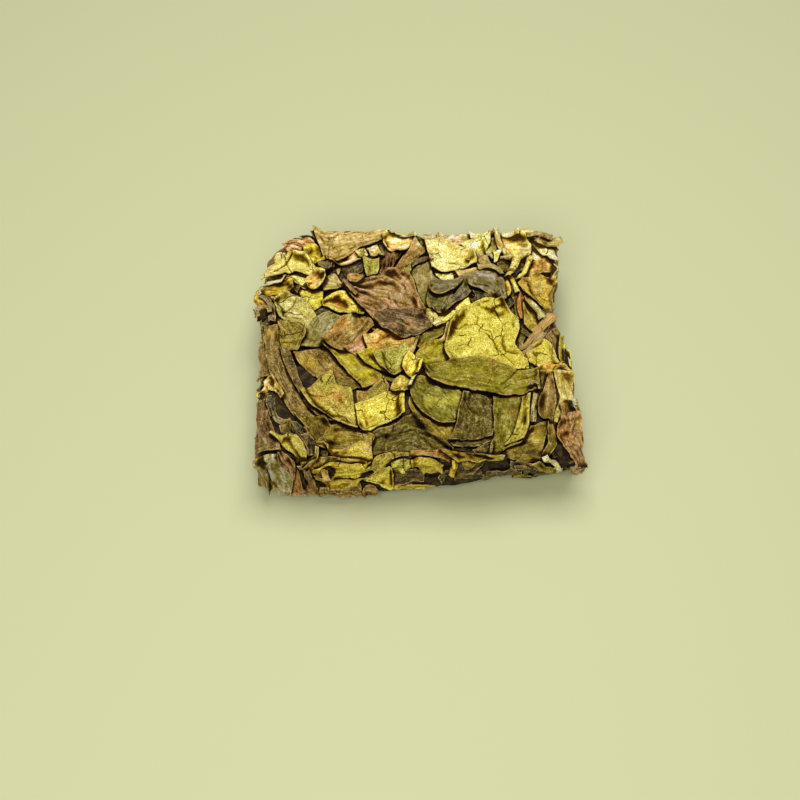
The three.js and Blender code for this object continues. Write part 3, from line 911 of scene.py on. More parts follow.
BACK_MIDDLE = [
    Leaf("rust", [(-6.4, 16.9), (-5.9, 15), (-6.3, 13)], [(-2.2, 18.6), (-3.6, 16), (-4.9, 13.1)],
        wrinkles=0.3, spacing=0.6, light=0.3),
    Leaf("cream", [(1.2, 22.6), (2.6, 22.7), (4.4, 22.3)], [(1, 21), (2.6, 20.6), (4.6, 21)],
        light=0.85, crumple=0.3),
    Leaf("grey",
        [(2.5, 16.8), (0.7, 15.5), (-0.7, 14.7), (-1.2, 13.1), (-1.1, 11), (-0.1, 8.4), (1.5, 5.9)],
        [(2.7, 16.5), (2.5, 14), (3.3, 11.9), (2.3, 11.4), (1.8, 9.2), (1.8, 5.9)], stiff=40,
        light=1.21, lift=0.15, edges=(0.2, 0.1), crumple=0.1,
        spots=((1.2, 8.6, 2.4, "dark", 0.7), (-0.4, 13, 1.4, "silver", 0.4))),
    Leaf("straw", [(-5.8, 21.4), (-4.7, 22.2), (-2.3, 22.1), (0.4, 20.9)],
        [(-5.5, 19.8), (-4.8, 18.8), (-3.4, 18.1), (-0.3, 19.8)], light=2.3, crumple=0.12,
        edges=(0.1, 0.3), spots=((-4, 19.2, 1.4, "pink", 0.6),)),
    Leaf("cream", [(-4.4, 22.1), (-2.6, 22.3), (-0.6, 21.7), (0.2, 20.9)],
        [(-4.2, 21.7), (-2.6, 21.8), (-0.9, 21.2), (-0.2, 20.6)], light=1.16, lift=0.1, edges=(0.1, 0)),
    Leaf("brown", [(-5, 13.1), (-2.7, 16.6), (-0.3, 20.3)], [(-2.7, 13.1), (-0.8, 15.8), (1.5, 18.5)],
        light=0.89, lift=0.3, arch=0.55, wrinkles=0.08, spacing=0.5, crumple=0.03, torn=0.1,
        spots=((-4.4, 14, 1.1, "pink", 0.9), (-3.2, 15.7, 1.1, "pink", 0.9),
            (-2.1, 17.4, 1.1, "pink", 0.9), (-0.9, 19.2, 1.3, "pink", 0.9),
            (0.4, 19.6, 1, "cream", 0.8))),
    Leaf("pink", [(-1.7, 15), (0.3, 16.7), (2.2, 17.3)], [(-0.9, 14.7), (0.6, 15.9), (2, 16.4)],
        light=0.24, lift=0.15, arch=0.2, torn=0.1),
    Leaf("yellow", [(-8.8, 16.5), (-8.4, 14.4), (-8.1, 13)], [(-6.2, 16.3), (-6.2, 14.9), (-7, 13)],
        light=0.65, crumple=0.15, edges=(0.3, 0.1)),
    Leaf("straw", [(-8.1, 18.3), (-6.5, 19.5)], [(-7.5, 16.8), (-5.4, 16.9)], lift=0.15,
        edges=(0.2, 0.2), light=1.68),
    Leaf("pale", [(-10.1, 17.5), (-8.6, 18.5)], [(-9.2, 16.1), (-8, 17)], lift=0.15, crumple=0.25),
    Leaf("yellow", [(-2.8, 13.2), (-1.1, 15)], [(-1.5, 12.5), (-0.9, 13.6)], light=0.51, crumple=0.25),
]

BACK_RIGHT = [
    Leaf("dark", [(11, 20.6), (12.6, 21), (13.7, 20.2)], [(11.2, 17.3), (12.4, 16.8), (13.7, 17.7)],
        crumple=0.3, light=4.56),
    Leaf("cream", [(3.4, 22.1), (6, 22.5), (8.9, 22)], [(3.1, 19.9), (5.6, 19.6), (8.1, 19.7)],
        light=1.02, crumple=0.5, spots=((6.8, 20.6, 1, "peach", 0.7), (5, 21.6, 0.8, "gold", 0.7))),
    Leaf("cream", [(8.5, 21.8), (10.5, 22.3), (12.8, 22.5)], [(8.8, 21), (10.8, 21.3), (12.5, 21.5)],
        light=1.89, lift=0.15),
    Leaf("cream", [(15.3, 21.9), (17, 22.6), (19.3, 22.4), (20.1, 21.6)],
        [(15.8, 21.1), (18, 21.1), (20, 20.9)], light=1.85, lift=0.3, droop=0.6,
        spots=((18.2, 22, 1.5, "yellow", 0.7),)),
    Leaf("brown", [(20.2, 22.3), (21.5, 22.2)], [(20.3, 21.2), (21.8, 21.2)], crumple=0.4, light=0.85),
    Leaf("yellow", [(18.2, 20), (18.5, 17.8), (18.1, 15.7)], [(19.8, 19.8), (20.8, 17.6), (21.2, 15.5)],
        light=10.75, crumple=0.3),
    Leaf("bark", [(17.9, 15.5), (19.6, 16.5), (21.8, 16.6)], [(17.5, 13.3), (19.6, 13.9), (22, 13.9)],
        crumple=0.4, light=2.95),
    Leaf("yellow", [(21.3, 19), (22, 16.8), (21.9, 14.5), (21.4, 12)],
        [(22.6, 18.8), (23.2, 16.5), (22.9, 14.5), (22.5, 12.3)], light=8.46, edges=(0.3, 0.1),
        wrinkles=0.15, spots=((22.6, 18, 1.2, "peach", 0.5),)),
    Leaf("pale", [(19.1, 19.3), (20.3, 17.7), (21.3, 15.9)], [(20.4, 19.4), (21.7, 17.8), (22.3, 16)],
        light=6.67, edges=(0.2, 0.3), spots=((20.6, 17.4, 1.3, "yellow", 0.6),)),
    Leaf("grey", [(19.3, 19.6), (20.6, 20.7), (22.3, 20.8), (23.4, 21.3)],
        [(19.7, 18.9), (21.5, 18.8), (22.9, 19.2), (23.6, 20.1)], edges=(0.3, 0.1), droop=0.5,
        light=1.82, crumple=0.1),
    Leaf("straw", [(16.6, 21.3), (18.4, 21.3), (20.4, 21.2), (22, 21)],
        [(16.6, 20.8), (18.4, 20.8), (20.3, 20.6), (21.9, 20.3)], light=0.73, arch=0.15, torn=0.1),
    Leaf("grey", [(9.4, 17.8), (11.5, 16.9)], [(9.6, 15.8), (12.2, 15.4)], light=1.42),
    Leaf("pale", [(7.2, 19.5), (9.6, 21), (12.2, 21.7)], [(9.3, 17.8), (11, 17.7), (12.1, 20)],
        lift=0.12, spots=((9.8, 18.3, 1.1, "gold", 0.5),)),
    Leaf("straw", [(6.2, 14.2), (9.7, 15)], [(7, 12.5), (10.1, 13.8)], light=1.25),
    Leaf("pale", [(2.8, 14), (5.8, 14.1)], [(3.9, 12.2), (6, 12.4)], light=1.91, edges=(0, 0.25),
        spots=((4.4, 13.2, 0.6, "gold", 0.8),)),
    Leaf("pale", [(1.3, 20.4), (4, 20.3), (6.4, 19.5), (9.5, 18)],
        [(2.4, 14.6), (5, 13.9), (7.5, 14.8), (9.8, 15.5)], light=1.27, edges=(0.1, 0.4),
        ends=(0.15, 0.2), crumple=0.07, stiff=60, wrinkles=0.07, spacing=1.1,
        spots=((8.9, 16.6, 1.1, "green", 0.5), (2, 17.6, 0.9, "green", 0.4))),
    Leaf("grey", [(13.6, 21.2), (15.6, 21.5), (17.8, 20.9), (18.9, 19.6)],
        [(14.9, 17), (16, 16.7), (17.6, 17.1), (18.7, 17.8)], lift=0.25, bulge=0.3, edges=(0, 0.1),
        crumple=0.12, light=4.04,
        spots=((17.8, 19.6, 1.3, "olive", 0.6), (17.4, 18, 1.3, "olive", 0.5),
            (15, 20, 1.7, "pink", 0.35))),
    Leaf("cream", [(14, 21.7), (15.4, 21.4), (17, 21.2)], [(14.1, 21.1), (15.3, 20.9), (16.8, 20.7)],
        light=2.91, lift=0.12, edges=(0, 0), ends=(0, 0), arch=0.15, torn=0.1),
    Leaf("straw", [(12.7, 21.8), (13, 20.2), (13.8, 18.2), (15.1, 16.5), (16.5, 16)],
        [(13.6, 22), (13.9, 20.4), (14.8, 18.4), (15.8, 17.1), (16.7, 16.7)], lift=0.25, arch=0.4,
        torn=0.1, light=2.07, spots=((13.3, 21.4, 1.5, "cream", 0.7),)),
    Leaf("gold", [(13.1, 12.1), (13.8, 10), (14.2, 8.3)], [(14.7, 12.3), (15.2, 10.4), (15, 9.1)],
        light=1.67, wrinkles=0.12, spots=((14.6, 10.6, 0.9, "peach", 0.6),)),
    Leaf("olive", [(12.9, 16.6), (14.4, 16.3), (15.7, 15.9)], [(13.4, 13.9), (14.4, 14), (15, 14.4)],
        light=0.85),
    Leaf("cream", [(13.2, 17.2), (14.4, 16.8), (15.9, 16.4)],
        [(13.1, 16.7), (14.4, 16.3), (15.7, 15.9)], arch=0.2, torn=0.1, light=0.72),
    Leaf("yellow", [(14.6, 12.6), (15.5, 11.2), (15.8, 9.6)], [(15.3, 12.8), (16.2, 11.3), (16.6, 9.8)],
        light=2.35, arch=0.2, edges=(0, 0), torn=0.12, crumple=0.1,
        spots=((15.7, 11.4, 0.8, "pale", 0.8),)),
    Leaf("yellow", [(16, 12.2), (16.9, 13.8), (17.6, 15.4), (18, 17.2)],
        [(16.9, 12.2), (17.8, 13.6), (18.5, 15.2), (19.1, 16.8)], lift=0.25, edges=(0, 0), arch=0.35,
        torn=0.12, crumple=0.08, light=1.8,
        spots=((18.2, 16, 1.3, "cream", 0.8), (17.4, 14.2, 1, "pale", 0.7))),
    Leaf("pale", [(14.1, 12.3), (15.1, 14.8), (16.2, 17), (17, 17.7)],
        [(15.1, 12.2), (16.2, 14.4), (17.2, 16.3), (18.4, 17.2)], lift=0.35, edges=(0, 0), arch=0.35,
        torn=0.12, crumple=0.08, light=1.28,
        spots=((17.2, 17, 1.4, "pale", 0.9), (15.4, 14, 1.2, "pale", 0.6))),
    Leaf("cream", [(12.4, 18.1), (12.6, 16.9), (12.6, 15.8)], [(13.8, 18), (13.6, 17), (13.1, 16)],
        lift=0.25, crumple=0.5, light=2.95),
    Leaf("gold", [(16.2, 11.5), (17.5, 12.5), (19.5, 13.8), (20.6, 13.6), (21.8, 12)],
        [(17, 10), (18, 8.8), (19, 7.8), (20.4, 6.4), (21.5, 6.8)], edges=(0.3, 0.2), wrinkles=0.08,
        light=1.18,
        spots=((17.4, 11.6, 1.4, "peach", 0.4), (20, 8.6, 2, "gold", 0.5), (19, 11.4, 3, "straw", 0.5))),
]

MIDDLE_LEFT = [
    Leaf("bark", [(-25.8, 0.8), (-25.8, -3), (-25.3, -6.8)], [(-23.8, 0.5), (-23.1, -3), (-22.8, -6.8)],
        light=0.9, wrinkles=0.2, spots=((-24.4, -0.6, 1.4, "pink", 0.5),)),
    Leaf("brown", [(-19.5, -2.7), (-17.6, -5.6), (-15.3, -7.8), (-12.5, -9.4), (-10.1, -10.1)],
        [(-14.9, -1.4), (-13.4, -3.1), (-11.1, -5.9), (-8.7, -9)], light=0.85, lift=0.1, edges=(0.3, 0),
        wrinkles=0.08, spacing=1.3, midrib=0.45,
        creases=((0.16, 0.22, [(-18.2, -2.9), (-15.5, -5), (-11.5, -7.8)]),),
        spots=((-17, -4.4, 2.2, "gold", 0.6), (-11.4, -8.6, 2, "olive", 0.9),
            (-14.5, -3, 1.5, "olive", 0.5))),
    Leaf("grey", [(-18.3, -1.4), (-17.7, 1), (-16.7, 3.2), (-15.8, 4.6), (-14, 5.8)],
        [(-14.8, -1.5), (-14.2, 0.6), (-12.9, 2.9), (-12.3, 3.6), (-11.5, 4.3)], lift=0.12,
        edges=(0.2, 0.1), ends=(0.3, 0.15), light=0.97,
        creases=((0.15, 0.3, [(-14.8, 1.4), (-13.6, 4)]),),
        spots=((-15.2, 3.8, 1.6, "silver", 0.45), (-16.8, 0.4, 1.5, "olive", 0.35))),
    Leaf("green", [(-15.2, -1.2), (-12.6, -3.9), (-10.9, -6.1), (-8.5, -9.3)],
        [(-13.3, -0.3), (-10.9, -2.4), (-9, -3.1), (-6.9, -5.6), (-5.2, -7.3)], lift=0.15,
        edges=(0.35, 0.1), light=1.27, wrinkles=0.05, spots=((-6.4, -7.9, 1.3, "pink", 0.5),)),
    Leaf("brown", [(-15.2, -1.2), (-14.5, 0.8), (-13.1, 2.8), (-11.7, 4.1), (-10.2, 4.7)],
        [(-11.2, -2.6), (-9.3, 0.2), (-7.9, 1.9), (-6.9, 3.1), (-7.5, 4.3)], light=0.94, lift=0.15,
        edges=(0.4, 0.1),
        spots=((-13.8, 1.7, 1.5, "peach", 0.85), (-11.9, 3.6, 1.6, "peach", 0.85),
            (-10.6, 4.2, 0.9, "pale", 0.5), (-14.4, -0.4, 1, "peach", 0.6))),
    Leaf("pink", [(-11.5, -2.3), (-10, -0.4), (-8.4, 1.1)], [(-9, -3.4), (-7.8, -1.8), (-6.9, -0.6)],
        lift=0.1, light=0.82, edges=(0.25, 0)),
    Leaf("yellow", [(-15.4, 7.7), (-13.9, 9.2), (-12.2, 9.8), (-10.1, 7.9), (-8.3, 5.3)],
        [(-15, 6.9), (-13, 5.8), (-11.3, 5.1), (-10, 4.6), (-8.7, 4.5)], lift=0.15, edges=(0.15, 0.3),
        light=1.23, crumple=0.15,
        spots=((-12.4, 7.7, 2, "peach", 0.95), (-9.9, 5.3, 1.6, "silver", 0.75),
            (-11.2, 6.4, 1.2, "yellow", 0.6))),
    Leaf("gold", [(-22.1, 3.5), (-21.8, 1), (-21.6, -1.4)],
        [(-19.6, 3.9), (-17.5, 1.8), (-18.2, -0.6), (-18.8, -2.4)], edges=(0.25, 0.2), ends=(0.1, 0.3),
        crumple=0.1, wrinkles=0.12, stiff=40, light=0.46,
        creases=((0.25, 0.35, [(-21.5, 0.2), (-19.8, 0.2), (-18.1, 0.9)]),
            (-0.2, 0.2, [(-21.4, -0.3), (-18.4, -0.1)])),
        spots=((-20.4, -0.9, 1.6, "gold", 0.5), (-21.4, 2, 1, "straw", 0.4))),
    Leaf("shadow", [(-25.2, 4.2), (-25, 5.8)], [(-23.8, 4.2), (-23.9, 5.6)], lift=0.1, droop=0.7),
    Leaf("cream", [(-24.8, 4.3), (-24.7, 5.9), (-24, 6.4), (-23.1, 5.8), (-22.9, 4.8)],
        [(-24.3, 4.4), (-24.2, 5.5), (-23.8, 5.8), (-23.5, 5.4), (-23.4, 4.7)], lift=0.25, torn=0.06,
        droop=0.7, light=0.41),
    Leaf("bark",
        [(-24, 2.4), (-23.6, -2), (-23, -6), (-21.4, -9.9), (-20.2, -12.4), (-18.7, -14.8),
            (-16.8, -17.2)],
        [(-22.1, 2.7), (-21.6, -1.5), (-20.5, -5), (-18.8, -9), (-16.9, -12.8), (-14, -15.8)],
        light=0.92, lift=0.25, arch=0.4, wrinkles=0.14, spacing=0.6, crumple=0.06, torn=0.12,
        spots=((-23, 1, 1.3, "gold", 0.5), (-18, -14.4, 2.4, "olive", 0.6))),
    Leaf("bark", [(-21.6, -1.8), (-20.5, -5.4), (-18.8, -9.1), (-16.8, -12.7), (-14.2, -15.8)],
        [(-20.1, -2), (-19, -5.2), (-17.7, -9), (-16, -12.4), (-12.9, -15.9)], lift=0.3, arch=0.35,
        wrinkles=0.12, spacing=0.5, crumple=0.05, torn=0.1, light=0.55),
]

CENTRE = [
    Leaf("green", [(4.7, 2.9), (2, 2.2), (0.5, 0.6), (-0.3, -1)],
        [(5.4, 2.5), (3.8, 1), (2, -0.2), (0.4, -1.5)], light=0.56, lift=0.3, arch=0.25, torn=0.1),
    Leaf("straw", [(6.8, 5.6), (4.8, 3), (3.9, 0.6), (2.4, -0.5)],
        [(7.2, 5.2), (5.4, 2.4), (4.5, 0.3), (2.9, -1.1)], light=1.39, lift=0.35, arch=0.1, torn=0.08),
    Leaf("green", [(-0.5, -3.2), (0.5, -1.4), (1.8, -0.6), (3.8, -0.4)],
        [(1, -5.7), (2.2, -6.9), (4, -5.7), (5.4, -4)], light=1.03, edges=(0.1, 0.3),
        spots=((1.6, -1.6, 1.4, "gold", 0.5),)),
    Leaf("yellow", [(1.1, 5.7), (3.4, 6.3), (6, 7.6), (8.3, 9)],
        [(4.2, 2.9), (5.3, 3.3), (6.5, 5.3), (8.6, 7.4)], light=3.56,
        creases=((-0.3, 0.2, [(5.6, 7.3), (6.9, 5.2)]),)),
    Leaf("pale", [(0.9, 5.7), (2.5, 5.5)], [(3, 2.4), (4.5, 2.9)], light=0.9, lift=0.3, torn=0.1),
    Leaf("bark", [(-8.6, 0.5), (-5.8, 2.3), (-3, 2.1), (-0.2, 0.5)],
        [(-7.2, -3.5), (-5, -2.8), (-2.8, -1.7), (0.1, -0.4)], light=3.83, ends=(0.3, 0),
        spots=((-4.2, -1.2, 2.2, "green", 0.7), (-7.9, 0, 1, "pale", 0.6))),
    Leaf("green", [(-9.5, -3), (-7.8, -2.1), (-5.7, -3)], [(-8.2, -4.7), (-6.4, -5.7), (-4.8, -6.5)],
        light=2, edges=(0.1, 0.3)),
    Leaf("yellow", [(-7, -3.4), (-3.3, -1.6), (0.3, 0.1)],
        [(-5.1, -6.4), (-3.8, -7), (-2.1, -5.8), (-0.6, -2.4)], edges=(0.35, 0.3), light=0.65,
        creases=((0.22, 0.2, [(-5.9, -3.2), (-5.3, -4.8), (-5, -6.2)]),),
        spots=((-0.6, -1.4, 1.3, "pink", 0.6),)),
    Leaf("plum", [(-12, 10.8), (-10.1, 8.1), (-8.1, 5.2), (-6.5, 3.6), (-4.4, 2.4)],
        [(-11.4, 11.4), (-7.2, 12.4), (-4.1, 13.2), (-1.2, 12.7), (-0.1, 9.5), (1.3, 5.2)], light=1.55,
        lift=0.22, edges=(0.3, 0.3), crumple=0.17, wrinkles=0.22, spacing=1, torn=0.3, midrib=0.6,
        stiff=35,
        creases=((0.2, 0.2, [(-11, 11), (-7, 11.6), (-3, 11.8), (-1, 11)]),
            (0.16, 0.2, [(-10.6, 10.4), (-6, 10), (-2, 9.4)]),
            (0.14, 0.25, [(-10.2, 9.4), (-7, 7.4), (-3.6, 5.8)]),
            (-0.15, 0.2, [(-9.8, 10), (-5, 8.8), (-1, 7.4)])),
        spots=((-5.4, 10.8, 3.2, "straw", 0.3), (-2.6, 9, 2.4, "grey", 0.35),
            (-9.4, 8.6, 1.6, "pink", 0.3))),
    Leaf("plum", [(-6.8, 4), (-5.5, 2.1), (-4.1, 0.9), (-1.9, 0.5), (0, 1.4), (2.2, 2.1)],
        [(-6.3, 4.8), (-5.1, 5.9), (-2.3, 6.2), (0.5, 5.5), (1.8, 4.2), (2.5, 2.6)], light=0.55,
        lift=0.18, bulge=0.5, edges=(0.2, 0.2), crumple=0.3, wrinkles=0.16, torn=0.3,
        spots=((-1, 3.2, 1.3, "pink", 0.4), (-3.6, 2.4, 1, "pink", 0.3))),
    Leaf("peach", [(-11.4, 11.7), (-11.1, 13.3), (-8.8, 12.9)],
        [(-10.8, 11.1), (-9.2, 11.5), (-8.5, 12.2)], lift=0.15, light=1.04, crumple=0.25),
    Leaf("pink", [(-12.1, 11), (-11, 9.8), (-9.9, 8.4)], [(-11.6, 11.3), (-10.4, 10.3), (-9.5, 8.9)],
        lift=0.12, light=0.34, arch=0.15),
    Leaf("dark", [(2.2, 11.6), (1.7, 9.5), (1.6, 6.9), (2.6, 5.2)],
        [(6, 10.6), (5.5, 9), (4.7, 7.2), (3.9, 5.4)], light=1.61, lift=0.3, bulge=0.4, crumple=0.06,
        wrinkles=0.08, spacing=1.2, torn=0.08),
    Leaf("silver",
        [(2, 10.3), (2.6, 11.8), (4.1, 12), (6.1, 12.3), (8.2, 13.1), (10.1, 13.8), (11.7, 14.4),
            (13.1, 13.8), (13.9, 12.1), (14.3, 7.9)],
        [(1.9, 9.7), (2.6, 9.3), (3.9, 9.3), (5.9, 10.1), (7.8, 11.5), (9.2, 10.7), (11, 10.1),
            (12.3, 9.2), (13.5, 7.2)], lift=0.3, arch=0.5, edges=(0.1, 0.3), crumple=0.05,
        wrinkles=0.14, spacing=0.9, torn=0.08, stiff=40, light=0.71,
        creases=((0.15, 0.15, [(3.5, 11.2), (6.5, 11.5), (9, 12.4), (11.6, 12.8)]),
            (-0.2, 0.15, [(9.2, 11.4), (11, 11.4), (13, 9.6)])),
        spots=((4, 10.4, 2, "dark", 0.6), (12.6, 11, 2, "dark", 0.4))),
    Leaf("silver", [(7.8, 11.6), (6.5, 10.1), (4.9, 8), (3.9, 5.5)],
        [(8.7, 9.7), (8.1, 9), (6.6, 7.9), (4.4, 5.5)], lift=0.35, edges=(0.2, 0.3), crumple=0.06,
        torn=0.08, light=0.44),
    Leaf("grey", [(9.8, 15.3), (12.4, 14.9), (13.6, 13.6), (14, 12.5)],
        [(9.9, 14.2), (11.8, 14.1), (13, 13.1), (13.4, 12.3)], lift=0.3, light=1.35, edges=(0.2, 0),
        spots=((10.6, 14.9, 1.2, "pink", 0.5),)),
    Leaf("dark", [(9, 10.4), (9.4, 9.3), (8.4, 8.2)], [(12.8, 9.1), (13.6, 6.9), (11.6, 6)], light=0.3,
        crumple=0.3, wrinkles=0.15),
]

HERO_LEAF = Leaf("yellow", [(5.2, -4.4), (4.2, -2.2), (4.8, 1), (6.2, 4.6), (8.6, 7.1), (11.1, 8)],
    [(17.2, -5.8), (17, -3.4), (15.3, -1.2), (16, 1.5), (16, 3.8), (13.9, 7)], lift=0.4, light=1.09,
    ends=(0.1, 0.3), edges=(0.3, 0.25), crumple=0.08, wrinkles=0.03, step=0.16, torn=0.25, crest_highlight_hollow_shade=0.2,
    creases=((0.16, 0.4, [(9.2, 5), (10.4, 5.4), (12.3, 6), (13.6, 3.6), (14.2, 1.4)]),
        (0.25, 0.4, [(14, -0.2), (14.3, -1.9), (15.4, -1.6)]),
        (-0.25, 0.3, [(13.5, 0.9), (13.3, -0.6), (13.8, -2.1), (15.5, -2.6)]),
        (-0.16, 0.14, [(5.4, 1.9), (6.6, 2.1), (7.6, 3.2), (9.4, 3.5), (9.7, 4.9)]),
        (-0.16, 0.14, [(9.4, 3.5), (10.4, 2.3), (11.6, 1.8), (12, 0), (12.6, -1.6), (13.6, -3), (15,
        -4.7)]), (-0.12, 0.12, [(12.4, 5.6), (13.6, 3.4)]),
        (0.14, 0.3, [(12.6, 2.4), (13.8, 2.6), (14.6, 1.6), (15.2, 0.4)]),
        (0.12, 0.4, [(5.4, -1.6), (6.2, 1.4), (8.6, 5.2)])), stiff=60,
    spots=((6.4, -1.4, 1.8, "green", 0.5), (15.6, 2.6, 1.3, "pale", 0.35),
        (16.6, -4.6, 1.4, "gold", 0.5)))

RIGHT = [
    Leaf("bark", [(20.2, 0.6), (20.9, -1.2), (21.3, -3.4), (21.9, -6.4)],
        [(21.8, 2.8), (22.8, 1.4), (22.6, -1.5), (22.7, -6.2)], light=0.78, wrinkles=0.14, crumple=0.12),
    Leaf("green", [(21.9, 1), (21.8, -2), (22, -4.8)], [(22.4, 1.2), (22.4, -1.6), (22.4, -4.4)],
        light=1.6, edges=(0.15, 0), torn=0.08),
    Leaf("shadow", [(22.3, -1.6), (22.3, -4), (22.4, -6.2)], [(22.7, -1.6), (22.7, -4), (22.7, -6.2)],
        lift=0.02),
    Leaf("green", [(22.5, -0.4), (22.7, -3.2), (22.8, -7)], [(23.1, -0.6), (23.3, -3.4), (23.3, -7.2)],
        lift=0.1, light=9.28, edges=(0.15, 0), torn=0.08),
    Leaf("rust", [(16.5, 9.2), (15.9, 7), (16.4, 4)], [(16.7, 9.4), (17.2, 7), (16.9, 4.2)], lift=0.1,
        arch=0.2, light=1.13),
    Leaf("gold", [(16.9, 7.7), (16.9, 5.4), (16.8, 2.8)],
        [(18, 7.5), (19.4, 5.6), (19.9, 3.2), (18.6, 1.2)], light=0.83, edges=(0, 0.3)),
    Leaf("pale", [(17, 7.9), (18.2, 7.5), (19.4, 6), (20.3, 3.5)],
        [(17.2, 7.1), (17.9, 6.6), (18.8, 5.3), (19.2, 3.3)], light=0.83, lift=0.3, arch=0.3, torn=0.1),
    Leaf("yellow", [(16.9, -2.6), (17.4, -4.3), (19.2, -5.7), (21.9, -6.3)],
        [(18.1, -1.1), (20.2, -0.1), (21.1, -2.1), (21.6, -4.3), (22, -5.9)], lift=0.25,
        edges=(0.05, 0.3), crumple=0.07, wrinkles=0.04, stiff=50, torn=0.1, light=0.99,
        spots=((21.3, -3.6, 0.8, "cream", 0.7), (18.2, -3.4, 1.2, "gold", 0.3))),
]

